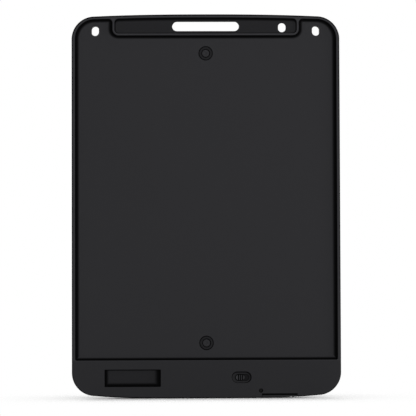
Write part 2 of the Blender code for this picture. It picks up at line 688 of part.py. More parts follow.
def magnets(coating):
    """The two ring magnets, each round its moulded post and level with the panel."""
    inner = MAGNET_POST_DIAMETER / 2 + FIT_GAP
    front = PANEL_DEPTH + MAGNET_THICKNESS
    for name, height in MAGNET_HEIGHTS.items():
        disc = prism(circle_loop(0.0, height, MAGNET_DIAMETER / 2), PANEL_DEPTH, front)
        bore = prism(circle_loop(0.0, height, inner), PANEL_DEPTH - OVERRUN, front + OVERRUN)
        place(name, cut(disc, bore), coating, origin=(0.0, PANEL_DEPTH, height))


def film_stack(finishes):
    """The film with its tape, the black sheet and the pad behind it, and the film's flat lead."""
    film = box_loop(-FILM_HALF, FILM_HALF, FILM_BOTTOM, FILM_TOP, FILM_CORNER)
    place("lcd_film", prism(film, FILM_BACK, FILM_BACK + FILM_THICKNESS), finishes["film"])
    ring = prism(film, TAPE_BACK, TAPE_BACK + TAPE_THICKNESS)
    hole = prism(moved_out(film, -TAPE_WIDTH), TAPE_BACK - OVERRUN, TAPE_BACK + OVERRUN)
    place("film_tape", cut(ring, hole), finishes["tape"])
    sheet = box_loop(-FILM_HALF, FILM_HALF, SHEET_BOTTOM, FILM_TOP, FILM_CORNER)
    sheet_front = BLACK_SHEET_BACK + BLACK_SHEET_THICKNESS
    place("black_sheet", prism(sheet, BLACK_SHEET_BACK, sheet_front), finishes["black_sheet"])
    half = WINDOW_HALF - PAD_MARGIN - RIB_WIDTH - FIT_GAP
    low = BEZEL_BOTTOM + PAD_MARGIN + RIB_WIDTH + FIT_GAP
    high = WINDOW_TOP - PAD_MARGIN - RIB_WIDTH - FIT_GAP
    pad_loop = box_loop(-half, half, low, high, FILM_CORNER)
    pad = prism(pad_loop, PANEL_INSIDE + FIT_GAP, BLACK_SHEET_BACK - BOND_GAP)
    clear = MAGNET_DIAMETER / 2 + FIT_GAP + WALL + FIT_GAP
    loops = [circle_loop(0.0, height, clear) for height in MAGNET_HEIGHTS.values()]
    ways = [prism(loop, 0.0, CASE_THICKNESS) for loop in loops]
    place("support_pad", cut(pad, *ways), finishes["foam"])
    tail = block(-TAIL_WIDTH / 2, TAIL_WIDTH / 2, BLACK_SHEET_BACK, BLACK_SHEET_BACK + TAIL_THICKNESS,
                 BOARD_TOP - TAIL_OVERLAP / 2, FILM_BOTTOM + TAIL_OVERLAP)
    place("flex_tail", tail, finishes["flex"])


def on_board(shares):
    """A place on the board, from shares of its width and height."""
    across, up = shares
    return BOARD_LEFT + (BOARD_RIGHT - BOARD_LEFT) * across, BOARD_BOTTOM + (BOARD_TOP - BOARD_BOTTOM) * up


def circuit(finishes):
    """The board with its screw holes, and the parts soldered to its back."""
    loop = box_loop(BOARD_LEFT, BOARD_RIGHT, BOARD_BOTTOM, BOARD_TOP, BOARD_CORNER)
    board = prism(loop, BOARD_DEPTH, BOARD_FRONT)
    hole = BOARD_SCREW_DIAMETER / 2 + FIT_GAP
    for x, z in BOARD_SCREW_PLACES.values():
        board = cut(board, prism(circle_loop(x, z, hole), 0.0, CASE_THICKNESS))
    place("circuit_board", board, finishes["board"])
    seat = BOARD_DEPTH - BOND_GAP
    x, z = on_board(CHIP_PLACE_SHARES)
    wide, high = CHIP_SIZE[0] / 2, CHIP_SIZE[1] / 2
    chip = block(x - wide, x + wide, seat - CHIP_THICKNESS, seat, z - high, z + high)
    place("driver_chip", chip, finishes["chip"])
    rim = COIL_DIAMETER / 2
    coil_back = seat - COIL_THICKNESS
    waist = rim - COIL_WAIST
    profile = [(coil_back, rim), (coil_back + COIL_FLANGE, rim), (coil_back + COIL_FLANGE, waist),
               (seat - COIL_FLANGE, waist), (seat - COIL_FLANGE, rim), (seat, rim)]
    place("boost_coil", turned(*on_board(COIL_PLACE_SHARES), profile), finishes["coil"])
    wide, high = CAPACITOR_SIZE[0] / 2, CAPACITOR_SIZE[1] / 2
    for name, shares in CAPACITOR_PLACE_SHARES.items():
        x, z = on_board(shares)
        shape = block(x - wide, x + wide, seat - CAPACITOR_THICKNESS, seat, z - high, z + high)
        place(name, shape, finishes["capacitor"])


def erase_key(finishes):
    """The key in the bezel, the tact switch on the board and its plunger."""
    front = CASE_THICKNESS
    flange_back = BEZEL_INSIDE - FIT_GAP - BUTTON_FLANGE_THICKNESS
    body = pill_loop(0.0, BUTTON_RISE, BUTTON_LENGTH, BUTTON_HEIGHT)
    rings = [(flange_back + WELD / 2, body)]
    for inset, rise in reversed(quarter(BUTTON_EDGE_ROUND)):
        rings.append((front - rise, moved_out(body, -inset)))
    flange = prism(moved_out(body, FIT_GAP + BUTTON_FLANGE), flange_back, BEZEL_INSIDE - FIT_GAP)
    hollow = prism(moved_out(body, -WALL), flange_back - OVERRUN, front - BUTTON_SKIN)
    plunger_front = BOARD_FRONT + BOND_GAP + BUTTON_TRAVEL + PLUNGER_LENGTH
    nub_loop = circle_loop(0.0, BUTTON_RISE, NUB_DIAMETER / 2)
    nub = prism(nub_loop, plunger_front + FIT_GAP, front - BUTTON_SKIN / 2)
    centre = (0.0, front, BUTTON_RISE)
    shape = add(cut(add(stack(rings), flange), hollow), nub)
    key = place("erase_button", shape, finishes["key"], origin=centre)
    radius = PLUNGER_DIAMETER / 2
    plunger = prism(circle_loop(0.0, BUTTON_RISE, radius), plunger_front - PLUNGER_LENGTH, plunger_front)
    seat = (0.0, plunger_front, BUTTON_RISE)
    place("switch_plunger", plunger, finishes["white_plastic"], origin=seat, parent=key)
    low, high = BUTTON_RISE - TACT_HEIGHT / 2, BUTTON_RISE + TACT_HEIGHT / 2
    tact_back = BOARD_FRONT + BOND_GAP
    case = block(-TACT_LENGTH / 2, TACT_LENGTH / 2, tact_back, tact_back + TACT_THICKNESS, low, high)
    bore = prism(circle_loop(0.0, BUTTON_RISE, radius + FIT_GAP), tact_back - OVERRUN, front)
    place("erase_switch", cut(case, bore), finishes["switch"])


def lock_catch(finishes):
    """The ribbed catch, the switch that it works and the switch's actuator."""
    x, z = THUMB_REST, LOCK_RISE
    centre = (x, STRIP_INSIDE, z)
    thumb = prism(pill_loop(x, z, THUMB_LENGTH, THUMB_HEIGHT), THUMB_SUNK, FLANGE_FRONT)
    half = LOCK_SLOT_LENGTH / 2 + LOCK_TRAVEL / 2 + THUMB_FLANGE
    rise = LOCK_SLOT_HEIGHT / 2 + THUMB_FLANGE
    plate = block(x - half, x + half, FLANGE_BACK, FLANGE_FRONT, z - rise, z + rise)
    shape = add(thumb, plate)
    first = x - THUMB_GROOVE_PITCH * (THUMB_GROOVES - 1) / 2 + THUMB_GROOVE_PITCH / 4
    for groove in range(THUMB_GROOVES):
        middle = first + groove * THUMB_GROOVE_PITCH
        left, right = middle - THUMB_GROOVE_WIDTH / 2, middle + THUMB_GROOVE_WIDTH / 2
        groove_end = THUMB_SUNK + THUMB_GROOVE_DEPTH
        shape = cut(shape, block(left, right, -OVERRUN, groove_end, z - rise, z + rise))
    long, high = ACTUATOR_LENGTH / 2, ACTUATOR_HEIGHT / 2
    post_back = THUMB_SUNK + THUMB_GROOVE_DEPTH + 2 * FIT_GAP
    socket = block(x - long - FIT_GAP, x + long + FIT_GAP, post_back - FIT_GAP, FLANGE_FRONT + OVERRUN,
                   z - high - FIT_GAP, z + high + FIT_GAP)
    slider = place("lock_slider", cut(shape, socket), finishes["slider"], origin=centre)
    post = block(x - long, x + long, post_back, SWITCH_BACK + ACTUATOR_SUNK, z - high, z + high)
    place("slide_actuator", post, finishes["black_plastic"], origin=(x, SWITCH_BACK, z), parent=slider)
    reach = LOCK_TRAVEL / 2 + long + FIT_GAP
    end, top = reach + SWITCH_END, SWITCH_HEIGHT / 2
    box = block(LOCK_CENTRE - end, LOCK_CENTRE + end, SWITCH_BACK, BOARD_DEPTH - BOND_GAP, z - top, z + top)
    way = block(LOCK_CENTRE - reach, LOCK_CENTRE + reach, SWITCH_BACK - OVERRUN,
                SWITCH_BACK + ACTUATOR_SUNK + FIT_GAP, z - high - FIT_GAP, z + high + FIT_GAP)
    place("slide_switch", cut(box, way), finishes["switch"])


def cell_drawer(finishes):
    """The drawer, with its end plate in the case's own outline, and the coin cell in its tray."""
    x = DRAWER_CENTRE
    left, right = x - TRAY_HALF, x + TRAY_HALF
    plate = case_block(0.0, CASE_THICKNESS, BACK_EDGE_ROUND, FRONT_EDGE_ROUND)
    plate = combine(plate, [block(left, right, -OVERRUN, TRAY_FRONT, -OVERRUN, LIP_HEIGHT)], "INTERSECT")
    catch = block(right - CATCH_LENGTH, right, WELD, DRAWER_DEPTH + WELD, LIP_HEIGHT - WELD, CATCH_HEIGHT)
    tray = block(left, right, DRAWER_DEPTH, TRAY_FRONT, LIP_HEIGHT - WELD, CELL_RISE + TRAY_ARM_RISE)
    ear_front = DRAWER_DEPTH + EAR_THICKNESS
    ear = block(EAR_LEFT, left + WELD, DRAWER_DEPTH, ear_front, LIP_HEIGHT, EAR_HEIGHT)
    gap_left = EAR_LEFT + EAR_PRONG
    gap_bottom = DRAWER_SCREW_RISE - DRAWER_SCREW_DIAMETER / 2 - FIT_GAP
    fork = block(gap_left, left, 0.0, CASE_THICKNESS, gap_bottom, EAR_HEIGHT + OVERRUN)
    bore = prism(circle_loop(x, CELL_RISE, CELL_DIAMETER / 2 + FIT_GAP),
                 DRAWER_DEPTH + TRAY_LEDGE_THICKNESS, CASE_THICKNESS)
    ledge = CELL_DIAMETER / 2 + FIT_GAP - TRAY_LEDGE
    eye = prism(circle_loop(x, CELL_RISE, ledge), 0.0, CASE_THICKNESS)
    nick_left = right - CATCH_LENGTH - NICK_WIDTH / 2
    nick_top = bottom_edge(nick_left) + NICK_HEIGHT
    nick = block(nick_left, nick_left + NICK_WIDTH, -OVERRUN, CASE_THICKNESS, -OVERRUN, nick_top)
    shape = cut(add(plate, tray, catch, ear), fork, bore, eye, nick)
    origin = (x, DRAWER_DEPTH, CELL_RISE)
    drawer = place("battery_drawer", shape, finishes["black_plastic"], origin=origin)
    radius = CELL_DIAMETER / 2
    front = CELL_BACK + CELL_THICKNESS
    profile = [(CELL_BACK, radius - CELL_FACE_INSET), (CELL_BACK + CELL_STEP, radius - CELL_FACE_INSET),
               (CELL_BACK + CELL_STEP, radius - CELL_STEP), (CELL_BACK + CELL_STEP_DEPTH, radius),
               (front - CELL_STEP, radius), (front, radius - CELL_STEP)]
    place("coin_cell", turned(x, CELL_RISE, profile), finishes["cell"],
          origin=(x, CELL_BACK, CELL_RISE), parent=drawer)


def leaf(points, rise):
    """A contact leaf: a bent line of x and depth points, thickened forwards and carried along Z."""
    shape = bmesh.new()
    outline = points + [(x, y + CONTACT_THICKNESS) for x, y in reversed(points)]
    levels = (rise - CONTACT_WIDTH / 2, rise + CONTACT_WIDTH / 2)
    ends = [[shape.verts.new((x, y, z)) for x, y in outline] for z in levels]
    for index in range(len(outline)):
        after = (index + 1) % len(outline)
        shape.faces.new((ends[0][index], ends[0][after], ends[1][after], ends[1][index]))
    shape.faces.new(ends[0])
    shape.faces.new(reversed(ends[1]))
    bmesh.ops.recalc_face_normals(shape, faces=shape.faces)
    return shape


def contacts(metal):
    """The two sprung leaves that reach from the board to the faces of the cell."""
    start = BOARD_RIGHT - CONTACT_BOARD_END - CONTACT_FOOT
    foot = start + CONTACT_FOOT
    tip_start, tip_end = DRAWER_CENTRE - CONTACT_TIP_HALF, DRAWER_CENTRE + CONTACT_TIP_HALF
    low = DRAWER_DEPTH - FIT_GAP - CONTACT_THICKNESS
    touch = CELL_BACK - FIT_GAP - CONTACT_THICKNESS
    seat = BOARD_DEPTH - BOND_GAP - CONTACT_THICKNESS
    back_line = [(start, seat), (foot, seat), (foot + CONTACT_SLOPE, low), (tip_start - CONTACT_SLOPE, low),
                 (tip_start, touch), (tip_end, touch)]
    place("cell_contact_negative", leaf(back_line, CELL_RISE - CONTACT_NEGATIVE_DROP), metal)
    above = TRAY_FRONT + FIT_GAP
    front_seat = BOARD_FRONT + BOND_GAP
    front_line = [(start, front_seat), (foot, front_seat), (foot + CONTACT_SLOPE, above), (tip_end, above)]
    place("cell_contact_positive", leaf(front_line, CELL_RISE + CONTACT_POSITIVE_LIFT), metal)


def screws(metal, dark_metal):
    """The drawer's screw and the two screws of the board."""
    drawer_sizes = (DRAWER_SCREW_DIAMETER, DRAWER_SCREW_HEAD, DRAWER_SCREW_HEAD_THICKNESS)
    screw("drawer_screw", DRAWER_SCREW_X, DRAWER_SCREW_RISE, DRAWER_SCREW_SUNK, *drawer_sizes, dark_metal)
    back = BOARD_DEPTH - FIT_GAP - BOARD_SCREW_HEAD_THICKNESS
    board_sizes = (BOARD_SCREW_DIAMETER, BOARD_SCREW_HEAD, BOARD_SCREW_HEAD_THICKNESS)
    for name, (x, z) in BOARD_SCREW_PLACES.items():
        screw(name, x, z, back, *board_sizes, metal)


def all_finishes():
    """One material for each kind of surface."""
    return {
        "case": finish("case_plastic", (0.028, 0.028, 0.030), 0.45),
        "black_plastic": finish("drawer_plastic", (0.025, 0.025, 0.027), 0.5),
        "slider": finish("slider_plastic", (0.03, 0.03, 0.032), 0.5),
        "key": finish("key_plastic", (0.035, 0.035, 0.038), 0.4),
        "white_plastic": finish("plunger_plastic", (0.75, 0.73, 0.68), 0.5),
        "switch": finish("switch_casing", (0.35, 0.35, 0.36), 0.35, 0.9),
        "film": finish("writing_film", (0.012, 0.016, 0.014), 0.25),
        "tape": finish("tape_adhesive", (0.8, 0.78, 0.7), 0.7),
        "black_sheet": finish("absorbing_black", (0.01, 0.01, 0.01), 0.8),
        "foam": finish("pad_foam", (0.1, 0.1, 0.1), 0.9),
        "flex": finish("flex_amber", (0.45, 0.2, 0.04), 0.4),
        "board": finish("board_green", (0.02, 0.12, 0.05), 0.45),
        "chip": finish("chip_epoxy", (0.02, 0.02, 0.02), 0.6),
        "coil": finish("coil_ferrite", (0.07, 0.07, 0.075), 0.6),
        "capacitor": finish("capacitor_ceramic", (0.5, 0.38, 0.24), 0.4),
        "cell": finish("cell_steel", (0.62, 0.62, 0.63), 0.25, 1.0),
        "contact": finish("contact_nickel", (0.7, 0.68, 0.62), 0.3, 1.0),
        "magnet": finish("magnet_coating", (0.035, 0.035, 0.037), 0.4, 0.3),
        "steel": finish("screw_zinc", (0.6, 0.6, 0.6), 0.35, 1.0),
        "dark_steel": finish("screw_black_oxide", (0.03, 0.03, 0.03), 0.4, 0.9),
    }


def build():
    """Make the whole tablet."""
    clear_scene()
    tablet = bpy.data.objects.new("tablet", None)
    tablet.location = (0.0, 0.0, -HANG_HOLE_Z)
    bpy.context.scene.collection.objects.link(tablet)
    finishes = all_finishes()
    back_cover(finishes["case"])
    front_frame(finishes["case"])
    film_stack(finishes)
    circuit(finishes)
    erase_key(finishes)
    lock_catch(finishes)
    cell_drawer(finishes)
    contacts(finishes["contact"])
    magnets(finishes["magnet"])
    screws(finishes["steel"], finishes["dark_steel"])


build()
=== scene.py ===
"""Looks of the ten-inch writing tablet: fine surfaces, finishes, light, floor and camera.

Lengths here are in millimetres. X runs to the right as seen from the back, depth runs from the back face
to the writing face, and heights start at the lowest point of the case. Skin.piece turns them into metres.
"""
import math

import bmesh
import bpy
import numpy as np
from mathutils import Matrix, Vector
from mathutils.geometry import tessellate_polygon


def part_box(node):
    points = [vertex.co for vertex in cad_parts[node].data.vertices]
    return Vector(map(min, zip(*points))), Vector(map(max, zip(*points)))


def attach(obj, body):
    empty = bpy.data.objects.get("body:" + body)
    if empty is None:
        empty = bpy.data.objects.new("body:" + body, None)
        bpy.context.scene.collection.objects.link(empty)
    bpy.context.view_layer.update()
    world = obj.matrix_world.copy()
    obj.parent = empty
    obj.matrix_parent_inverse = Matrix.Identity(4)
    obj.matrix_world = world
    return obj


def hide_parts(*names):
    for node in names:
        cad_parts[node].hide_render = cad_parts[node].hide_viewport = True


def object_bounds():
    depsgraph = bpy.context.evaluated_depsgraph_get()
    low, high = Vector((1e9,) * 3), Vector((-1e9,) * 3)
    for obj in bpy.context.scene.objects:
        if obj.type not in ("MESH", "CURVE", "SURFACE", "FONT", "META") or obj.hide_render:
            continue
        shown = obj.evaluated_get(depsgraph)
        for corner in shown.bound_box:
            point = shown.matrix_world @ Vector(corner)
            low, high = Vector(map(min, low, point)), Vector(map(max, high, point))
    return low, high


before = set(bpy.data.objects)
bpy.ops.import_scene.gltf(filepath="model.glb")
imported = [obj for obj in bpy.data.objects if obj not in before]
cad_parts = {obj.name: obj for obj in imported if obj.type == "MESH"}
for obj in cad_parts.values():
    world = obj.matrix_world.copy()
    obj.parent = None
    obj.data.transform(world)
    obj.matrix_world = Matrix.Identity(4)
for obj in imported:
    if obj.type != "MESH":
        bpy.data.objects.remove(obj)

cad_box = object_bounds()

MM = 0.001
FLOOR_LEVEL = cad_box[0][2]
FIT_GAP = 0.3

# Meshes: width of the loop beside a round, cell in which points are one and its shift in cells, least radii,
# the angle from which edges are sharp, and the least lengths in metres
SUPPORT = 0.06
MERGE_CELL = 0.0002
MERGE_SHIFT = 0.3
TIP_RADIUS = 0.0001
LEAST_CORNER = 0.05
SMOOTH_LIMIT = math.radians(35.0)
WELD_REACH = 2e-6
SLIVER = 1e-7

# Steps or points along curves
QUARTER_STEPS = 6
ROUND_STEPS = 10
OVAL_STEPS = 20
DISC_STEPS = 64
CORNER_STEPS = 28
CROWN_POINTS = 41
EDGE_STEPS = 8
PANEL_STEPS = 20
POCKET_POINTS = 25
FLOOR_RINGS = 7
BOW_STEPS = 16
DIP_STEPS = 5
WINDOW_STEPS = 14
SCREW_WAY_STEPS = 40
THUMB_COLUMNS = 121
THUMB_ROW_EVERY = 5
KEY_RINGS = 12
CELL_STEPS = 128
SCREW_STEPS = 96
SCREW_RINGS = 22

# Case
HALF_WIDTH = 90.0
CASE_HEIGHT = 257.4
CASE_DEPTH = 7.0
CORNER_RADIUS = 15.45
TOP_CROWN = 1.4
TOP_CROWN_POWER = 2.5
BOTTOM_CROWN = 1.8
BOTTOM_CROWN_POWER = 4.0
WALL = 1.2
PARTING = 3.6
BEZEL_START = 3.7
BEZEL_INSIDE = 5.8
BACK_ROUND = 1.1
FRONT_ROUND = 1.3
PARTING_CHAMFER = 0.15

# Back: sunk panel, strip, pocket and holes
RIM = 2.25
TOP_RIM = 2.2
STRIP_TOP = 25.5
PANEL_DEPTH = 1.8
PANEL_CORNER = 1.0
PANEL_LIP = 0.4
PANEL_COVE = 1.4
POCKET_HALF = 61.2
POCKET_BOTTOM = 244.5
POCKET_DEPTH = 1.0
POCKET_CORNER = 2.6
POCKET_LEAST_CORNER = 1.4
RIDGE = 1.4
RIDGE_CORNER = 4.2
RIDGE_FILLET = 2.6
SLOT_HALF = 22.45
SLOT_TOP = 252.6
SLOT_HEIGHT = 7.3
SLOT_LIP = 1.0
HANG_HOLES = ((-74.2, 246.45), (74.2, 246.45))
HANG_SIZE = (5.0, 6.8)
STRING_HOLE = (51.35, 248.46)
STRING_SIZE = (5.2, 6.4)
STRING_FRONT = (51.35, 248.58)
STRING_FRONT_SIZE = (5.2, 6.16)
LABEL = (-68.2, -30.7, 7.8, 19.3)
LABEL_CORNER = 0.5
LABEL_DEPTH = 2.0
LIP = 0.3
HOLE_LIP = 0.15
FOOT_ROUND = 0.1
BOSS_START = 3.0
RIB_BACK = 2.9
RIB_FRONT = 4.4
RIB_BOX = (-77.0, 77.0, 34.0, 231.0)
RIB_CORNER = 3.0
RIB_WIDTH = 1.0
RIB_CROSSING = (5.0, 5.8)

# How far the band of painted shade reaches from each wall of a recess: left, right, below and above
PANEL_BAND = (3.6, 4.0, 2.4, 2.9)
POCKET_BAND = (0.9, 0.9, 0.4, 2.6)
LABEL_BAND = (3.2, 4.8, 3.1, 0.9)
DISH_BAND = (0.4, 1.1, 0.3, 1.0)

# Share of a band's reach that is shaded in full, and how the painted shade comes up over a lip
BAND_CORE = 0.36
LIP_POWER = 2.5
LIP_ROWS = 4

# Painted shade on the edge round, in its steps: where it starts, how soon it is full, how it falls off towards
# the wall, and how much sooner it starts where the edge faces up
EDGE_START = 1
EDGE_RISE = 2
EDGE_FALL = 4
UPWARD_LEAD = 1.4

# How much each face is darkened between its bands: painted shade on the sunk panel, in the recesses and inside
# the case, and a darkening of the strip and the front
PANEL_PAINTED_SHADE = 0.20
STRIP_DARKENING = 0.28
POCKET_PAINTED_SHADE = 0.51
LABEL_PAINTED_SHADE = 0.46
DISH_PAINTED_SHADE = 0.45
INSIDE_PAINTED_SHADE = 0.8

# Tongue inside the parting line: insets and depths of its section
TONGUE = [(1.1, 2.6), (1.1, 3.5), (0.35, 3.5), (0.35, 3.69), (1.3, 3.69), (1.3, 4.6), (1.8, 4.6), (1.8, 2.6)]

# Ring magnets, and their posts with the painted shade along each post's section
MAGNET_HEIGHTS = {"magnet_top": 231.2, "magnet_bottom": 36.8}
MAGNET_RADIUS = 4.3
MAGNET_BORE = 2.9
MAGNET_END = 3.0
MAGNET_EDGE = 0.15
POCKET_RADIUS = 4.7
POST_RADIUS = 2.5
POST_CHAMFER = 0.12
POST_PAINTED_SHADE = (1.0, 1.0, 0.6, 0.0, 0.0, 0.2, 0.1, 0.1)
MAGNET_POCKET_END = 3.3
BOSS_RADIUS = 6.0
BOSS_END = 4.1
DIMPLE_RADIUS = 0.8
DIMPLE_DEPTH = 0.2

# Front: window, trough and key
WINDOW = (-78.0, 78.0, 33.0, 232.0)
WINDOW_CORNER = 3.0
WINDOW_BEVEL = 0.7
TUB_BACK = 2.5
TROUGH_FLOOR = 3.5
TUB_INSET = 0.3
TROUGH_INSET = 1.3
KEY_HEIGHT = 15.0
KEY_SIZE = (24.0, 8.0)
KEY_EDGE = 0.35
KEY_FLANGE = 1.1
KEY_FLANGE_BACK = 5.0
KEY_FLANGE_FRONT = 5.5
KEY_CEILING = 6.0
KEY_DISH = 0.22
KEY_DISH_REACH = 3.9
NUB_RADIUS = 1.5
NUB_BACK = 5.7
BOARD_BOSSES = ((-17.0, 15.0), (17.5, 7.1))
BOARD_BOSS_RADIUS = 2.0
BOARD_BOSS_START = 4.8
BOARD_BORE = 1.0
DRAWER_SCREW = (36.3, 5.0)
DRAWER_BOSS_RADIUS = 1.9
DRAWER_BOSS_START = 5.35
DRAWER_BORE = 0.9
SCREW_WAY_RADIUS = 1.3
BORE_END = 6.6

# Screws: back of the head, head radius and thickness, shank radius
DRAWER_SCREW_SHAPE = (0.9, 1.0, 0.8, 0.6)
BOARD_SCREW_SHAPE = (2.8, 1.4, 0.6, 0.7)
SCREW_TIP = 6.3
SCREW_DOME = 0.12
DOME_SHARE = 0.4
CROSS_ARM = 0.35
CROSS_DEPTH = 0.35
CROSS_SPAN = 0.7
THREAD_PITCH = 0.45
THREAD_DEPTH = 0.12

# Drawer, and its mouth in the bottom edge: the notch and the slot for the screw ear
MOUTH_LEFT = 36.9
MOUTH_RIGHT = 60.7
MOUTH_TOP = 3.1
MOUTH_END = 5.35
DRAWER_LIP = 1.97
TRAY_SHOWN = 3.6
EAR_LEFT = 33.9
EAR_BACK = 1.75
EAR_FRONT = 3.15
DRAWER_BEVEL = 0.1
BEVEL_SEGMENTS = 2

# Coin cell. Its section is given as steps out from the cap's edge or the can's, and in from its back or front
CELL_CENTRE = (48.8, 12.9)
CELL_BACK = 2.55
CELL_FRONT = 5.05
CELL_RADIUS = 10.0
CELL_CAP = 9.0
CAP_SECTION = ((-1.5, 0.0), (-1.2, 0.04), (-0.7, 0.04), (-0.4, 0.0), (-0.2, 0.0), (-0.06, 0.06), (0.0, 0.2),
               (0.0, 0.32), (0.2, 0.32), (0.26, 0.26))
CRIMP_SECTION = ((-0.4, 0.25), (-0.12, 0.4), (0.0, 0.7))
CAN_SECTION = ((0.0, -0.3), (-0.08, -0.08), (-0.3, 0.0), (-1.2, 0.0), (-1.3, -0.05))

# Lock catch
LOCK_CENTRE = (23.7, 13.8)
DISH_CENTRE = (23.3, 13.95)
DISH_SIZE = (13.2, 7.5)
DISH_DEPTH = 0.4
LOCK_SLOT = (9.4, 4.4)
THUMB_CENTRE = (22.4, 13.8)
THUMB_SIZE = (6.2, 3.8)
THUMB_TOP = 0.4
THUMB_ROUND = 0.3
THUMB_EDGE_PAINTED_SHADE = 1.5
GROOVES = (-1.15, 0.19, 1.53)
GROOVE_HALF = 0.42
GROOVE_DEPTH = 0.45
PLATE_HALF = (6.9, 3.1)
PLATE_BACK = 1.5
PLATE_FRONT = 2.1
PLATE_PAINTED_SHADE = 0.72
SOCKET_HALF = (0.9, 0.8)
SOCKET_END = 1.1

# Worked out from those: how far the crowned edges run, where the drawer mouth, the ear slot and the right
# side fall in the case's outline, and the magnets' axes
REACH = HALF_WIDTH - CORNER_RADIUS
ROOM_TOP = STRIP_TOP - WALL
MOUTH_PLACES = (EAR_LEFT, MOUTH_LEFT, MOUTH_RIGHT)
BOTTOM_X = np.unique(np.concatenate([np.linspace(-REACH, REACH, CROWN_POINTS), MOUTH_PLACES]))[1:-1]
TOP_X = np.linspace(REACH, -REACH, CROWN_POINTS)[1:-1]
EAR_FIRST, MOUTH_FIRST, MOUTH_LAST = (np.searchsorted(BOTTOM_X, MOUTH_PLACES) + CORNER_STEPS + 1).tolist()
SIDE_START = 2 * CORNER_STEPS + 2 + len(BOTTOM_X)
POSTS = [(0.0, height) for height in MAGNET_HEIGHTS.values()]


# --- Outlines: closed rows of x and height, run anticlockwise as seen from the back ---

def arc(centre, radius, start, end, steps):
    """Centre plus radius times cosine and sine, for angles in even steps from start to end in degrees."""
    angles = np.radians(np.linspace(start, end, steps + 1))
    return np.stack([centre[0] + radius * np.cos(angles), centre[1] + radius * np.sin(angles)], axis=1)


def crown(x, rise, power):
    """Rise times the share of the way from the middle to the corner, raised to a power."""
    return rise * np.minimum(np.abs(x) / REACH, 1.0) ** power


def bottom_edge(x, inset=0.0):
    """Height of the crowned bottom edge."""
    return inset + crown(x, BOTTOM_CROWN, BOTTOM_CROWN_POWER)


def top_edge(x, inset=0.0):
    """Height of the crowned top edge."""
    return CASE_HEIGHT - inset - crown(x, TOP_CROWN, TOP_CROWN_POWER)


def outline(grow=0.0):
    """The case, grown all round: quarter circles at the corners, crowned ends, straight sides."""
    radius = CORNER_RADIUS + grow
    low = BOTTOM_CROWN + CORNER_RADIUS
    high = CASE_HEIGHT - TOP_CROWN - CORNER_RADIUS
    side = HALF_WIDTH + grow
    return np.concatenate([
        arc((-REACH, low), radius, 180, 270, CORNER_STEPS),
        np.stack([BOTTOM_X, bottom_edge(BOTTOM_X, -grow)], axis=1),
        arc((REACH, low), radius, 270, 360, CORNER_STEPS),
        [[side, ROOM_TOP]],
        arc((REACH, high), radius, 0, 90, CORNER_STEPS),
        np.stack([TOP_X, top_edge(TOP_X, -grow)], axis=1),
        arc((-REACH, high), radius, 90, 180, CORNER_STEPS),
        [[-side, ROOM_TOP]],
    ])


def open_outline(grow=0.0):
    """The case's outline from the right of the drawer mouth, all the way round to the ear slot's left."""
    loop = outline(grow)
    return np.concatenate([loop[MOUTH_LAST:], loop[:EAR_FIRST + 1]])


def mouth_outline(grow=0.0):
    """The case's outline from the right of the drawer mouth all the way round to its left."""
    loop = outline(grow)
    return np.concatenate([loop[MOUTH_LAST:], loop[:MOUTH_FIRST + 1]])


def notched_outline(grow=0.0):
    """The case's outline with the drawer mouth let into its bottom edge."""
    loop = outline(grow)
    inner = [[x, bottom_edge(x, WALL)] for x in (MOUTH_LEFT, MOUTH_RIGHT)]
    corner = [inner[0], [MOUTH_LEFT, MOUTH_TOP], [MOUTH_RIGHT, MOUTH_TOP], inner[1]]
    return np.concatenate([loop[:MOUTH_FIRST + 1], corner, loop[MOUTH_LAST:]])


def upper_outline():
    """The part of the inner outline above the strip's room, closed by a straight line."""
    return outline(-WALL)[SIDE_START:]


def rounded(corners, steps=ROUND_STEPS):
    """A closed outline through corners given as x, height and radius, each rounded by a tangent arc."""
    places = np.array([corner[:2] for corner in corners], float)
    befores, afters = np.roll(places, 1, 0), np.roll(places, -1, 0)
    loop = []
    for here, (_, _, radius), before, after in zip(places, corners, befores, afters):
        if radius == 0.0:
            loop.append(here[None])
            continue
        into = (here - before) / np.linalg.norm(here - before)
        out = (after - here) / np.linalg.norm(after - here)
        turn = math.atan2(into[0] * out[1] - into[1] * out[0], into @ out)
        start = here - into * radius * math.tan(abs(turn) / 2)
        centre = start + np.array([-into[1], into[0]]) * math.copysign(radius, turn)
        first = math.degrees(math.atan2(*(start - centre)[::-1]))
        loop.append(arc(centre, radius, first, first + math.degrees(turn), steps))
    return np.concatenate(loop)


def box(sides, radius=0.0, steps=ROUND_STEPS):
    """A rectangle that grows all round, its corners' radius growing with it."""
    def shape(grow=0.0):
        corner = max(radius + grow, LEAST_CORNER) if radius else 0.0
        left, right, bottom, top = np.array(sides) + (-grow, grow, -grow, grow)
        places = (left, bottom), (right, bottom), (right, top), (left, top)
        return rounded([(x, z, corner) for x, z in places], steps)
    return shape


def pill(centre, size):
    """Two half circles joined by straight sides, lying or standing."""
    radius = min(size) / 2
    side, rise = size[0] / 2 - radius, size[1] / 2 - radius
    turn = 0 if side > rise else 90
    first = arc((centre[0] + side, centre[1] + rise), radius, turn - 90, turn + 90, OVAL_STEPS)
    second = arc((centre[0] - side, centre[1] - rise), radius, turn + 90, turn + 270, OVAL_STEPS)
    return np.concatenate([first, second])


def oval(centre, size):
    """A pill that grows all round."""
    return lambda grow=0.0: pill(centre, (size[0] + 2 * grow, size[1] + 2 * grow))


def disc(centre, radius, steps=DISC_STEPS):
    """A circle that grows all round."""
    return lambda grow=0.0: arc(centre, radius + grow, 0, 360, steps)[:-1]


HANGING = [oval(place, HANG_SIZE) for place in HANG_HOLES]


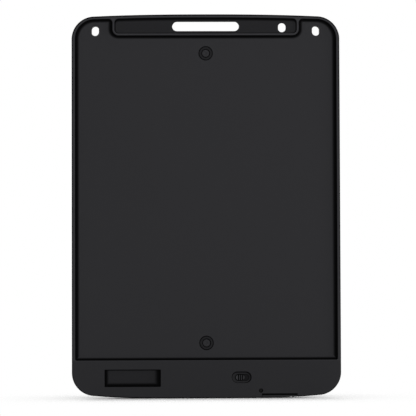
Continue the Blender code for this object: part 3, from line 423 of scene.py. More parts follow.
def panel(grow=0.0):
    """The sunk panel: inside the rim, round the pocket's ridge and down to the strip."""
    shoulder = POCKET_HALF + RIDGE - grow
    side = HALF_WIDTH - RIM + grow
    half = [
        (side, STRIP_TOP - grow, max(PANEL_CORNER + grow, SUPPORT)),
        (side, top_edge(REACH, TOP_RIM) + grow, CORNER_RADIUS - RIM + grow),
        (shoulder, top_edge(shoulder, TOP_RIM) + grow, max(RIDGE_FILLET + grow, SUPPORT)),
        (shoulder, POCKET_BOTTOM - RIDGE + grow, RIDGE_CORNER - grow),
    ]
    return rounded(half + [(-x, z, radius) for x, z, radius in reversed(half)], PANEL_STEPS)


def pocket(grow=0.0):
    """The pocket: square below, its top edge parallel to the crowned top of the case."""
    half = POCKET_HALF + grow
    radius = max(POCKET_CORNER + grow, POCKET_LEAST_CORNER)
    along = half * np.linspace(1, -1, POCKET_POINTS)[1:-1]
    corners = [(-half, POCKET_BOTTOM - grow, radius), (half, POCKET_BOTTOM - grow, radius)]
    corners += [(half, top_edge(half, TOP_RIM - grow), radius)]
    corners += [(x, top_edge(x, TOP_RIM - grow), 0.0) for x in along]
    corners += [(-half, top_edge(half, TOP_RIM - grow), radius)]
    return rounded(corners)


def slot(lip=0.0):
    """The finger slot, its lower edge raised by the lip of the front tub."""
    height = SLOT_HEIGHT - lip
    return oval((0.0, SLOT_TOP - height / 2), (2 * SLOT_HALF, height))


def string_outlines(grow=0.0):
    """Outlines of the trough, bowed out at the string hole, of its floor, passing over it, and of the hole."""
    loop = pocket(grow - TROUGH_INSET)
    (x, height), (width, rise) = STRING_FRONT, STRING_FRONT_SIZE
    radius = width / 2
    low, high = height - rise / 2 + radius, height + rise / 2 - radius
    dip = math.degrees(math.asin((POCKET_BOTTOM + TROUGH_INSET - low) / radius))
    bow = arc((x, low), radius + grow, 180 - dip, 360 + dip, BOW_STEPS)
    over = np.concatenate([
        arc((x, low), radius, dip, 0, DIP_STEPS),
        arc((x, high), radius, 0, 180, OVAL_STEPS)[1:],
        arc((x, low), radius, 180, 180 - dip, DIP_STEPS)[1:],
    ])
    first, rest = loop[:ROUND_STEPS + 1], loop[ROUND_STEPS + 1:]
    mouth = np.concatenate([first, bow, rest])
    floor = np.concatenate([first, over[::-1], rest])
    return mouth, floor, np.concatenate([bow, over[1:-1]])


# --- Profiles: rows of how far outwards and how deep, carried along an outline ---

def quarter(radius, steps=QUARTER_STEPS):
    """A quarter round as sine and cosine shares of its radius: from flat at its rim to upright at its end."""
    angles = np.linspace(0, math.pi / 2, steps + 1)
    return np.stack([radius * (1 - np.sin(angles)), radius * (1 - np.cos(angles))], axis=1)


def mouth(lip, depth, start=0.0):
    """From a flat face over a rounded lip and straight down to a depth."""
    rows = [(lip + SUPPORT, 0.0), *quarter(lip), (0.0, depth - start)]
    return [(out, start + rise) for out, rise in rows]


def flipped(profile, face):
    """The same profile started from a front face, going backwards."""
    return [(out, face - depth) for out, depth in profile]


def falloff(distance, reach):
    """One beside a wall, then a smooth fall to zero at its reach: one less three squares, plus two cubes."""
    core = reach * BAND_CORE
    share = np.clip((distance - core) / (reach - core), 0.0, 1.0)
    return 1 - share ** 2 * (3 - 2 * share)


def lip_painted_shade(start):
    """Painted shade over the rows of a mouth: the face's own at first, then up along a quarter sine to full.
    """
    rows = np.arange(QUARTER_STEPS + 3)
    return start + (1 - start) * np.sin(np.clip(rows / LIP_ROWS, 0.0, 1.0) * math.pi / 2)


def drawn_in(loop, band):
    """An outline drawn in by its own length on each side: both axes are stretched in proportion."""
    left, right, below, above = band
    low, high = loop.min(axis=0), loop.max(axis=0)
    start, end = low + (left, below), high - (right, above)
    return start + (loop - low) / (high - low) * (end - start)


def outward(loop):
    """The outline's outward normal at each point: across and up."""
    along = np.roll(loop, -1, 0) - np.roll(loop, 1, 0)
    return np.stack([along[:, 1], -along[:, 0]]) / np.linalg.norm(along, axis=1)


def band_reach(loop, band):
    """The reach of the band of painted shade at each point: its four sides mixed by the squared outward
    normal.
    """
    across, up = outward(loop)
    left, right, below, above = band
    return across ** 2 * np.where(across > 0, right, left) + up ** 2 * np.where(up > 0, above, below)


# --- Skin: surfaces of one piece, welded into one mesh ---

class Skin:
    """Collects surfaces in millimetres and welds them into one closed mesh."""

    def __init__(self):
        self.points = []
        self.polish = []
        self.faces = []
        self.count = 0

    def add(self, points, faces, polish=0.0):
        """Keep points as x, depth and height, with faces that count from the first of them."""
        points = np.asarray(points, float).reshape(-1, 3)
        self.points.append(points)
        self.polish.append(np.broadcast_to(np.asarray(polish, float).reshape(-1), (len(points),)))
        self.faces += (np.asarray(faces) + self.count).tolist()
        self.count += len(points)

    def grid(self, grid, closed=True, polish=0.0):
        """A grid of rows and columns of points, joined by four-sided faces, its columns closed if asked."""
        rows, columns = grid.shape[:2]
        index = np.arange(rows * columns).reshape(rows, columns)
        after = np.roll(index, -1, axis=1)
        if not closed:
            index, after = index[:, :-1], after[:, :-1]
        faces = np.stack([index[:-1], after[:-1], after[1:], index[1:]], axis=-1).reshape(-1, 4)
        self.add(grid.reshape(-1, 3), faces, np.broadcast_to(polish, (rows, columns)))

    def band(self, rows, closed=True, polish=0.0):
        """Outlines at depths, each row a depth and an outline of as many points."""
        self.grid(np.stack([np.insert(loop, 1, depth, axis=1) for depth, loop in rows]), closed, polish)

    def carry(self, shape, profile, closed=True, polish=0.0):
        """A profile of outward steps and depths carried along an outline that grows."""
        shade = np.reshape(polish, (-1, 1)) if np.ndim(polish) == 1 else polish
        self.band([(depth, shape(out)) for out, depth in profile], closed, shade)

    # floor is the painted shade left on a recess floor beyond its band
    def recess(self, shape, lip, depth, cove, band, floor=0.0, even=False):
        """A mouth with a coved foot, and rings on its floor that keep an even distance or share out the band.

        Shade is painted on the walls, and it falls off across the foot and the rings.
        """
        foot, reach = shape(-cove), max(band)
        last = shape(-reach) if even else drawn_in(foot, np.array(band) - cove)
        shares = np.linspace(0, 1, FLOOR_RINGS + 1)[1:]
        upper = [(0.0, shape(lip + SUPPORT)), *[(rise, shape(out)) for out, rise in quarter(lip)]]
        lower = [(depth - rise, shape(-inset)) for inset, rise in quarter(cove)[::-1]]
        lower += [(depth, foot + share * (last - foot)) for share in shares]
        insets = np.concatenate([quarter(cove)[::-1, 0], cove + shares * (reach - cove)])
        sides = band_reach(shape(), band) if even else np.full(len(foot), reach)
        lips = np.linspace(0.0, 1.0, len(upper))[:, None] ** LIP_POWER + 0 * sides
        feet = floor + (1 - floor) * falloff(insets[:, None], sides)
        self.band(upper + lower, True, np.concatenate([lips, feet]))
        return last

    def flat(self, depth, outer, *holes, polish=0.0):
        """A flat face at one depth: an outline with holes, cut into triangles."""
        loops = [outer, *holes]
        triangles = tessellate_polygon([np.insert(loop, 2, 0.0, axis=1).tolist() for loop in loops])
        self.add(np.insert(np.concatenate(loops), 1, depth, axis=1), triangles, polish)

    def patch(self, points):
        """One flat face through a few points."""
        self.add(points, [list(range(len(points)))])

    def turned(self, centre, profile, polish=0.0, steps=DISC_STEPS):
        """Radii and depths turned about an axis through the centre; a radius of zero closes the end."""
        shape = disc(centre, 0.0, steps)
        self.carry(shape, [(max(radius, TIP_RADIUS), depth) for radius, depth in profile], polish=polish)

    def piece(self, name, finish, body, *nodes):
        """Weld the surfaces, turn their faces outwards and make the piece, in metres and in its place.

        Points that fall on one another share the greatest of their painted shade.
        """
        points = np.concatenate(self.points)
        cells = np.floor(points / MERGE_CELL + MERGE_SHIFT)
        shared = np.unique(cells, axis=0, return_inverse=True)[1].reshape(-1)
        greatest = np.zeros(shared.max() + 1)
        np.maximum.at(greatest, shared, np.concatenate(self.polish))
        mesh = bpy.data.meshes.new(name)
        mesh.from_pydata(points * MM + np.array([0.0, 0.0, FLOOR_LEVEL]), [], self.faces)
        # The painted shade is kept at the points, where the finish reads it
        polish = mesh.attributes.new("polish", "FLOAT", "POINT")
        polish.data.foreach_set("value", greatest[shared].astype(np.float32))
        return settle(mesh, name, finish, body, *nodes)


def settle(mesh, name, finish, body, *nodes):
    """Merge a mesh's doubles, turn its faces outwards, smooth it and hang it on its body."""
    shape = bmesh.new()
    shape.from_mesh(mesh)
    bmesh.ops.remove_doubles(shape, verts=shape.verts, dist=WELD_REACH)
    bmesh.ops.dissolve_degenerate(shape, edges=shape.edges, dist=SLIVER)
    bmesh.ops.recalc_face_normals(shape, faces=shape.faces)
    shape.to_mesh(mesh)
    shape.free()
    mesh.materials.clear()
    mesh.materials.append(finish)
    mesh.shade_smooth()
    mesh.set_sharp_from_angle(angle=SMOOTH_LIMIT)
    piece = bpy.data.objects.new(name, mesh)
    bpy.context.scene.collection.objects.link(piece)
    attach(piece, body)
    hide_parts(*nodes)
    return piece


# --- Finishes ---

# Moulded plastic: the case's tone, the share of a tone that a face keeps under full painted shade, how far a
# tone drifts either way, and the sizes of the grain, the flow marks and the haze
CASE_TONE = (0.0275, 0.0275, 0.0297)
SHADED_TONE_SHARE = 0.05
TONE_SPREAD = 0.05
GRAIN_WIDTH = 0.32
GRAIN_DEPTH = 0.012
FLOW_WIDTH = 38.0
FLOW_STRETCH = (1.0, 1.0, 2.4)
HAZE_WIDTH = 7.0
EVEN = (1.0, 1.0, 1.0)


def operator(operation, turned=False):
    """A method that adds a Math node for a reading and another value, which come turned round if asked."""
    return lambda self, other: self.math(operation, *((other, self) if turned else (self, other)))


class Reading:
    """A shader socket whose operators add Math nodes."""

    __add__ = __radd__ = operator("ADD")
    __mul__ = __rmul__ = operator("MULTIPLY")
    __sub__, __rsub__ = operator("SUBTRACT"), operator("SUBTRACT", True)
    __truediv__, __pow__, larger = operator("DIVIDE"), operator("POWER"), operator("MAXIMUM")

    def __init__(self, network, socket):
        self.network = network
        self.socket = socket

    def math(self, operation, *values, clamp=False):
        settings = {"operation": operation, "use_clamp": clamp}
        return self.network.node("ShaderNodeMath", settings, dict(enumerate(values)))

    def size(self):
        return self.math("ABSOLUTE", self)

    def root(self):
        return self.math("SQRT", self)

    def exponential(self):
        return self.math("EXPONENT", self)

    def clipped(self):
        return self.math("ADD", self, 0.0, clamp=True)

    def fraction(self):
        return self.math("FRACT", self)

    def above(self, edge, width):
        """Zero below an edge, one above it, with a ramp of the given width."""
        return ((self - edge) / width + 0.5).clipped()


class Network:
    """The nodes of one material or of the studio's surroundings."""

    def __init__(self, tree):
        self.tree = tree

    def node(self, kind, settings=None, inputs=None, output=0):
        """Add a node with its settings first, then the values or links of its sockets."""
        made = self.tree.nodes.new(kind)
        for key, value in (settings or {}).items():
            setattr(made, key, value)
        for key, value in (inputs or {}).items():
            self.join(made.inputs[key], value)
        return Reading(self, made.outputs[output])

    def join(self, socket, value):
        """Link a reading to a socket, or write a number or colour on it."""
        if isinstance(value, Reading):
            self.tree.links.new(value.socket, socket)
        else:
            socket.default_value = value

    def ray(self, name):
        """One for one kind of ray, zero for the others."""
        return self.node("ShaderNodeLightPath", output=name)

    def seen(self):
        """One for rays from the camera, off gloss or through glass, zero for the rays that light things."""
        mirrored = self.ray("Is Glossy Ray").larger(self.ray("Is Transmission Ray"))
        return self.ray("Is Camera Ray").larger(mirrored)


class Finish(Network):
    """A material with one Principled shader and the nodes that feed it."""

    def __init__(self, name, **constants):
        self.material = bpy.data.materials.new(name)
        self.material.use_nodes = True
        super().__init__(self.material.node_tree)
        self.shader = self.tree.nodes["Principled BSDF"]
        for socket, value in constants.items():
            self.shader.inputs[socket.replace("_", " ")].default_value = value
        self.place = self.node("ShaderNodeTexCoord", output="Object")

    def axes(self):
        """X, depth and height above the floor, in millimetres."""
        parts = {0: self.place}
        x, y, z = (self.node("ShaderNodeSeparateXYZ", None, parts, axis) for axis in range(3))
        return x / MM, y / MM, (z - FLOOR_LEVEL) / MM

    def noise(self, size, detail=2.0, stretch=EVEN):
        """Soft noise whose lumps are about size millimetres wide, drawn out along an axis if asked."""
        scaling = {"Vector": self.place, "Scale": tuple(1.0 / (size * MM * share) for share in stretch)}
        place = self.node("ShaderNodeMapping", {"vector_type": "POINT"}, scaling)
        return self.node("ShaderNodeTexNoise", None, {"Vector": place, "Scale": 1.0, "Detail": detail})

    def cells(self, size):
        """Distance to the nearest of scattered points, about size millimetres apart."""
        inputs = {"Vector": self.place, "Scale": 1.0 / (size * MM)}
        return self.node("ShaderNodeTexVoronoi", {"feature": "F1"}, inputs)

    def blend(self, share, first, second):
        """A colour mixed from two by a share."""
        inputs = {0: share, 6: self.colour(first), 7: self.colour(second)}
        return self.node("ShaderNodeMix", {"data_type": "RGBA"}, inputs, output=2)

    def colour(self, value):
        """A reading as it is, or three numbers with the fourth that a colour socket takes."""
        return value if isinstance(value, Reading) else (*value, 1.0)

    def attribute(self, name):
        """A value stored at the mesh's points."""
        return self.node("ShaderNodeAttribute", {"attribute_name": name}, output="Fac")

    def feed(self, socket, value):
        """Link a reading to a socket of the shader."""
        self.join(self.shader.inputs[socket], value)

    def cover(self, colour, roughness, height, depth):
        """Feed a colour, a roughness and a relief: a height from zero to one, its depth in millimetres."""
        self.feed("Base Color", colour)
        self.feed("Roughness", roughness)
        self.feed("Normal", self.node("ShaderNodeBump", None, {"Height": height, "Distance": depth * MM}))
        return self.material


def grey(level):
    """A tone of three like parts."""
    return [level] * 3


def scaled(tone, share):
    """A tone made lighter or darker."""
    return [part * share for part in tone]


def moulded(name, tone, roughness, shade=None, dark=SHADED_TONE_SHARE, specular=0.012):
    """Textured moulding with etched grain and faint flow marks, darker where shade is painted and a little
    smoother there.

    Painted shade runs from zero to one. It is the greater of what the mesh stores and what the shade works
    out.
    """
    made = Finish(name, Specular_IOR_Level=specular)
    etch = made.noise(GRAIN_WIDTH, 3.0)
    flow = made.noise(FLOW_WIDTH, 2.0, FLOW_STRETCH)
    haze = made.noise(HAZE_WIDTH, 3.0)
    # Painted shade: the colour darkens towards a small share of the tone, and roughness and grain drop a
    # little
    polish = made.attribute("polish").clipped()
    if shade:
        polish = polish.larger(shade(made))
    drift = (flow - 0.5) * 0.6 + (haze - 0.5) * 0.3 + 0.5
    dim, bright = scaled(tone, 1 - TONE_SPREAD), scaled(tone, 1 + TONE_SPREAD)
    speckled = made.blend((etch - 0.5) * 0.8 + 0.5, dim, made.blend(drift, dim, bright))
    gloss = (roughness + (etch - 0.5) * 0.10 + (haze - 0.5) * 0.06) * (1 - polish * 0.2)
    colour = made.blend(polish, speckled, scaled(tone, dark))
    return made.cover(colour, gloss, etch * (1 - polish * 0.8), GRAIN_DEPTH)


def case_shade(made):
    """Painted highlight and shade: the rim and the ridge keep the full tone, the sunk panel gets a little
    painted shade, and the strip and the front are darkened more.
    """
    _, depth, height = made.axes()
    low = (1 - height.above(STRIP_TOP - PANEL_LIP, 0.6)).larger(depth.above(PARTING, 0.3))
    return (depth.above(PANEL_DEPTH / 2, 0.4) * PANEL_PAINTED_SHADE).larger(low * STRIP_DARKENING)


def drawer_shade(made):
    """Painted shade on the tray: full where it shows in the mouth, above the end plate, and less further in.
    """
    height = made.axes()[2]
    return height.above(DRAWER_LIP, 0.1) - height.above(TRAY_SHOWN, 0.4) * 0.6


def small_mouldings():
    """Finishes of the drawer, the catch, the key and the plunger."""
    return {
        "drawer_plastic": moulded("drawer_satin", (0.0205, 0.0205, 0.0220), 0.5, drawer_shade),
        "slider_plastic": moulded("catch_satin", (0.0310, 0.0310, 0.0335), 0.42),
        "key_plastic": moulded("key_satin", (0.026, 0.026, 0.028), 0.38, specular=0.08),
        "plunger_plastic": moulded("plunger_nylon", (0.74, 0.72, 0.67), 0.45, dark=0.8, specular=0.4),
    }


def film_finish():
    """Writing film: near-black with a slight green and violet drift, faint rubbing marks and a soft gloss."""
    made = Finish("writing_film_gloss", Specular_IOR_Level=0.16, Coat_Weight=0.05, Coat_Roughness=0.12)
    drift = made.noise(70.0, 1.0)
    rub = made.noise(9.0, 4.0, (3.0, 1.0, 0.6))
    tint = made.blend(drift, (0.008, 0.014, 0.011), (0.013, 0.012, 0.018))
    colour = made.blend((rub - 0.45) * 0.5, tint, (0.022, 0.030, 0.027))
    return made.cover(colour, 0.17 + (rub - 0.5) * 0.12, made.noise(1.6, 3.0), 0.004)


def metal(name, tone, dull, roughness, size, stretch=EVEN, **constants):
    """Plated metal: drawn-out streaks, spots of dulling and slightly uneven gloss."""
    made = Finish(name, **{"Metallic": 1.0, **constants})
    streak = made.noise(size, 4.0, stretch)
    spots = made.noise(size * 3.1, 3.0)
    gloss = roughness + (streak - 0.5) * 0.25 + (spots - 0.5) * 0.1
    return made.cover(made.blend((spots - 0.35) * 0.9, tone, dull), gloss, streak, 0.003)


def metals():
    """Finishes of the switch casing, cell, contacts, magnets and screws."""
    long_x = (6.0, 1.0, 1.0)
    return {
        "switch_casing": metal("tinned_sheet", (0.62, 0.62, 0.63), (0.42, 0.42, 0.44), 0.32, 0.5, long_x),
        "cell_steel": metal("nickelled_steel", (0.66, 0.66, 0.66), (0.50, 0.50, 0.50), 0.24, 0.35, long_x),
        "contact_nickel": metal("nickel_strip", (0.70, 0.67, 0.60), (0.52, 0.48, 0.42), 0.28, 0.3, long_x),
        "magnet_coating": metal("black_epoxy_coat", (0.0120, 0.0120, 0.0129), (0.0085, 0.0085, 0.0092),
                                0.45, 0.6, Metallic=0.0, Specular_IOR_Level=0.03),
        "screw_black_oxide": metal("black_oxide", (0.012, 0.012, 0.0122), (0.005, 0.005, 0.0052), 0.5, 0.25,
                                   Metallic=0.0, Specular_IOR_Level=0.05),
        "screw_zinc": metal("zinc_plate", (0.60, 0.60, 0.58), (0.44, 0.44, 0.42), 0.34, 0.3),
    }


def grained(name, dark, light, roughness, specular, depth, *grain):
    """One fine grain in colour, gloss and relief: the relief's depth, then its size, detail and stretch."""
    made = Finish(name, Specular_IOR_Level=specular)
    speck = made.noise(*grain)
    return made.cover(made.blend(speck, dark, light), roughness + (speck - 0.5) * 0.2, speck, depth)


def foam_finish():
    """Open foam: painted shade in the middle of each cell, lighter at its wall."""
    made = Finish("pad_foam_cells", Specular_IOR_Level=0.2)
    cell = made.cells(0.7)
    colour = made.blend(cell.clipped(), (0.05, 0.05, 0.052), (0.13, 0.13, 0.135))
    return made.cover(colour, 0.95 - cell.clipped() * 0.1, cell, 0.12)


def stripes(made, axis, pitch, share):
    """One over a share of each pitch along an axis, with short ramps between."""
    phase = (made.axes()[axis] / pitch).fraction()
    return 1 - (phase - 0.5).size().above(share / 2, 0.12)


def flex_finish():
    """Flat lead: copper tracks that show through amber film."""
    made = Finish("flex_film", Specular_IOR_Level=0.5)
    tracks = stripes(made, 0, 1.0, 0.55)
    haze = made.noise(2.0, 3.0)
    film = made.blend(haze, (0.30, 0.12, 0.02), (0.42, 0.18, 0.035))
    return made.cover(made.blend(tracks * 0.8, film, (0.52, 0.24, 0.07)), 0.3 + haze * 0.12, tracks, 0.02)


def board_finish():
    """Circuit board: green solder resist with darker laminate between pale copper tracks, and tinned pads."""
    made = Finish("board_resist", Specular_IOR_Level=0.5)
    across = stripes(made, 0, 2.6, 0.34)
    up = stripes(made, 2, 3.4, 0.3)
    gate = made.noise(6.0, 0.0).above(0.5, 0.04)
    tracks = (across * gate + up * (1 - gate)).clipped()
    pads = 1 - made.cells(2.3).above(0.16, 0.05)
    resist = made.blend(tracks, (0.010, 0.075, 0.028), (0.022, 0.150, 0.060))
    colour = made.blend(pads, resist, (0.62, 0.60, 0.55))
    made.feed("Metallic", pads * 0.9)
    return made.cover(colour, 0.32 + made.noise(1.5, 3.0) * 0.15, (tracks + pads).clipped(), 0.03)


def ends(made, node, share):
    """One at both ends of a small part, over a share of its half length."""
    low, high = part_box(node)
    middle, half = (low[0] + high[0]) / 2 / MM, (high[0] - low[0]) / 2 / MM
    return ((made.axes()[0] - middle).size() / half).above(1 - share, 0.04)


def coil_finish():
    """Ferrite drum with the turns of its winding as fine stripes."""
    made = Finish("ferrite_drum", Specular_IOR_Level=0.4)
    grain = made.noise(0.2, 3.0)
    wire = stripes(made, 1, 0.16, 0.8)
    colour = made.blend(grain, (0.05, 0.05, 0.055), (0.09, 0.09, 0.095))
    return made.cover(colour, 0.55 + grain * 0.2, grain * 0.5 + wire * 0.5, 0.02)


def capacitor_finish(node):
    """Tan ceramic with tinned ends, worked out from the capacitor's own length."""
    made = Finish(node + "_ceramic", Specular_IOR_Level=0.45)
    grain = made.noise(0.15, 3.0)
    tinned = ends(made, node, 0.3)
    body = made.blend(grain, (0.40, 0.29, 0.17), (0.52, 0.39, 0.25))
    made.feed("Metallic", tinned)
    colour = made.blend(tinned, body, (0.62, 0.61, 0.58))
    return made.cover(colour, 0.35 + grain * 0.15, grain * 0.4 + tinned * 0.6, 0.02)


def others():
    """Finishes of the film and the sheets behind it, the flat lead, the board, the chip and the coil."""
    return {
        "writing_film": film_finish(),
        "tape_adhesive": grained("tape_acrylic", (0.74, 0.71, 0.62), (0.82, 0.80, 0.73), 0.6, 0.4,
                                 0.01, 0.5, 3.0),
        "absorbing_black": grained("absorbing_sheet", grey(0.006), grey(0.014), 0.75, 0.15,
                                   0.006, 0.4, 4.0, (1.0, 1.0, 5.0)),
        "pad_foam": foam_finish(),
        "flex_amber": flex_finish(),
        "board_green": board_finish(),
        "chip_epoxy": grained("chip_resin", grey(0.014), grey(0.028), 0.6, 0.4, 0.01, 0.12, 3.0),
        "coil_ferrite": coil_finish(),
    }


def dress_nodes(finishes):
    """Give each CAD node that stays in view the finish of its slot."""
    wear = {
        "writing_film": ["lcd_film"],
        "tape_adhesive": ["film_tape"],
        "absorbing_black": ["black_sheet"],
        "pad_foam": ["support_pad"],
        "flex_amber": ["flex_tail"],
        "board_green": ["circuit_board"],
        "chip_epoxy": ["driver_chip"],
        "coil_ferrite": ["boost_coil"],
        "plunger_plastic": ["switch_plunger"],
        "switch_casing": ["erase_switch", "slide_switch"],
        "drawer_plastic": ["slide_actuator"],
        "contact_nickel": ["cell_contact_positive", "cell_contact_negative"],
    }
    for slot_name, nodes in wear.items():
        for node in nodes:
            paint(node, finishes[slot_name])
    for node in ("capacitor_left", "capacitor_right"):
        paint(node, capacitor_finish(node))


def paint(node, material):
    """Put a material in every slot of a CAD node."""
    for node_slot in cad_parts[node].material_slots:
        node_slot.material = material


# --- Case ---

def back_cover(finish):
    """The rear shell: a flat outline with holes for each level, joined by profiles carried along outlines."""
    skin = Skin()
    label = box(LABEL, LABEL_CORNER)
    dish, lock_slot = oval(DISH_CENTRE, DISH_SIZE), oval(LOCK_CENTRE, LOCK_SLOT)
    screw_way = disc(DRAWER_SCREW, SCREW_WAY_RADIUS, SCREW_WAY_STEPS)
    string, finger = oval(STRING_HOLE, STRING_SIZE), slot()
    rings = [disc(centre, POCKET_RADIUS) for centre in POSTS]
    hole = HOLE_LIP + SUPPORT

    outer_wall(skin)
    mouths = [panel(PANEL_LIP + SUPPORT), *[shape(LIP + SUPPORT) for shape in (pocket, label, dish)]]
    skin.flat(0.0, notched_outline(-BACK_ROUND - SUPPORT), *mouths, screw_way(hole))
    # Painted shade falls off from the walls of the panel and of each recess, over floors that keep their own
    # level of it; the hole walls get it too
    bed = skin.recess(panel, PANEL_LIP, PANEL_DEPTH, PANEL_COVE, PANEL_BAND, even=True)
    skin.flat(PANEL_DEPTH, bed, *[shape(hole) for shape in HANGING + rings])
    recesses = [
        (pocket, POCKET_DEPTH, LIP, POCKET_BAND, POCKET_PAINTED_SHADE, [string, finger]),
        (label, LABEL_DEPTH, HOLE_LIP, LABEL_BAND, LABEL_PAINTED_SHADE, []),
        (dish, DISH_DEPTH, FOOT_ROUND, DISH_BAND, DISH_PAINTED_SHADE, [lock_slot]),
    ]
    for shape, depth, cove, band, polish, holes in recesses:
        bed = skin.recess(shape, LIP, depth, cove, band, polish)
        skin.flat(depth, bed, *[inner(hole) for inner in holes], polish=polish)
    walls = [(shape, PANEL_DEPTH, PARTING, 0.0) for shape in HANGING]
    walls += [(shape, POCKET_DEPTH, POCKET_DEPTH + WALL, POCKET_PAINTED_SHADE) for shape in (string, finger)]
    walls += [(lock_slot, DISH_DEPTH, WALL, DISH_PAINTED_SHADE), (screw_way, 0.0, WALL, 0.0)]
    for shape, start, end, polish in walls:
        skin.carry(shape, mouth(HOLE_LIP, end, start), polish=lip_painted_shade(polish))
    for centre in POSTS:
        magnet_seat(skin, centre)

    inner_faces(skin, string(), finger(), label, lock_slot(), screw_way())
    skin.piece("moulded_back_cover", finish, "case", "back_cover")


def outer_wall(skin):
    """Edge round and notch of the drawer mouth, then the wall on to the parting line, open at the mouth.

    Along the edge round painted shade rises in a straight line and falls off again towards the wall, starting
    sooner where the edge faces up. A tongue inside the wall, fully darkened with painted shade, fills the
    parting line up to a shallow groove and stands behind the bezel's wall, so no light gets through.
    """
    rows = [(-inset, depth) for inset, depth in quarter(BACK_ROUND, EDGE_STEPS)]
    rows = [(-BACK_ROUND - SUPPORT, 0.0), *rows, (0.0, WALL)]
    upward = np.maximum(outward(notched_outline())[1], 0.0)
    step = np.arange(len(rows))[:, None] - 1.0
    # Painted shade on the edge round, starting sooner where it faces up
    rise = np.clip((step - EDGE_START + UPWARD_LEAD * upward) / EDGE_RISE, 0.0, 1.0)
    skin.carry(notched_outline, rows, polish=rise * np.clip((EDGE_STEPS - step) / EDGE_FALL, 0.0, 1.0))
    chamfer = PARTING - PARTING_CHAMFER
    outside = [(0.0, WALL), (0.0, EAR_BACK), (0.0, EAR_FRONT), (0.0, chamfer), (-PARTING_CHAMFER, PARTING)]
    inside = [(-WALL, PARTING), (-WALL, EAR_FRONT), (-WALL, BOSS_START)]
    skin.carry(open_outline, outside + inside, False)
    room_wall(skin)
    mouth_walls(skin, chamfer)
    skin.carry(open_outline, [(-inset, depth) for inset, depth in TONGUE + TONGUE[:1]], False, 1.0)
    for x in (EAR_LEFT, MOUTH_RIGHT):
        wall_end(skin, x, TONGUE)


def inner_faces(skin, string, finger, label, lock_slot, screw_way):
    """The faces that look into the case, with the hanging holes' tubes, the bosses and the rib frame."""
    bosses = [disc(centre, BOSS_RADIUS)() for centre in POSTS]
    skin.flat(BOSS_START, upper_outline(), pocket(), *[shape(WALL) for shape in HANGING], *bosses)
    skin.band([(BOSS_START, pocket()), (POCKET_DEPTH + WALL, pocket())])
    skin.flat(POCKET_DEPTH + WALL, pocket(), string, finger)
    for shape in HANGING:
        skin.carry(shape, [(0.0, PARTING), (WALL, PARTING), (WALL, BOSS_START)])
    skin.carry(label, [(WALL, WALL), (WALL, LABEL_DEPTH + WALL)])
    skin.flat(LABEL_DEPTH + WALL, label(WALL))
    corner = np.array([[MOUTH_LEFT, MOUTH_TOP], [MOUTH_RIGHT, MOUTH_TOP]])
    skin.flat(WALL, np.concatenate([room_path(), corner]), label(WALL), lock_slot, screw_way)
    outer, inner = rib_outline(), rib_outline(-RIB_WIDTH)
    back = np.where(np.abs(outer[:, 0]) < sum(RIB_CROSSING) / 2, MAGNET_POCKET_END + FIT_GAP, RIB_BACK)
    skin.band([(back, outer), (RIB_FRONT, outer), (RIB_FRONT, inner), (back, inner), (back, outer)])


def rib_outline(grow=0.0):
    """The rib round the film's bay, with points where it crosses the bosses in front of the magnets."""
    left, right, bottom, top = RIB_BOX
    near, far = RIB_CROSSING
    crossing = [-far, -near, near, far]
    corner = RIB_CORNER + grow
    lower = [(left - grow, corner), *[(x, 0.0) for x in crossing], (right + grow, corner)]
    return rounded([(x, bottom - grow, radius) for x, radius in lower]
                   + [(x, top + grow, radius) for x, radius in reversed(lower)])


def room_path():
    """The strip's inner outline from the right of the mouth, over the room's top, to the mouth's left."""
    loop = outline(-WALL)
    return np.concatenate([loop[MOUTH_LAST:SIDE_START + 1], loop[-1:], loop[:MOUTH_FIRST + 1]])


def room_wall(skin):
    """The strip's inner wall, straight forwards to the level of the panel's inner face."""
    path = room_path()
    ear = len(path) - 1 - (MOUTH_FIRST - EAR_FIRST)
    skin.band([(depth, path[:ear + 1]) for depth in (WALL, EAR_BACK, BOSS_START)], False)


def mouth_walls(skin, chamfer):
    """The bottom wall behind and before the ear slot, from the slot to the mouth, and the mouth's ends."""
    loop, inner, chamfered = outline(), outline(-WALL), outline(-PARTING_CHAMFER)
    bit = slice(EAR_FIRST, MOUTH_FIRST + 1)
    skin.band([(WALL, loop[bit]), (EAR_BACK, loop[bit]), (EAR_BACK, inner[bit]), (WALL, inner[bit])], False)
    skin.band([(EAR_FRONT, loop[bit]), (chamfer, loop[bit]), (PARTING, chamfered[bit]), (PARTING, inner[bit]),
               (EAR_FRONT, inner[bit]), (EAR_FRONT, loop[bit])], False)
    back, front, inside = (0.0, EAR_BACK), (0.0, EAR_FRONT), [(WALL, BOSS_START), (WALL, EAR_BACK)]
    before = [front, (0.0, chamfer), (PARTING_CHAMFER, PARTING), (WALL, PARTING), (WALL, EAR_FRONT)]
    wall_end(skin, MOUTH_LEFT, [(0.0, WALL), back, (WALL, EAR_BACK), (WALL, WALL)])
    wall_end(skin, MOUTH_LEFT, before)
    wall_end(skin, EAR_LEFT, [back, front, (WALL, EAR_FRONT), *inside])
    wall_end(skin, MOUTH_RIGHT, [(0.0, WALL), back, *before, *inside, (WALL, WALL)])


def wall_end(skin, x, section):
    """The bottom wall cut square at one x: insets and depths of its section."""
    skin.patch([(x, depth, bottom_edge(x, inset)) for inset, depth in section])


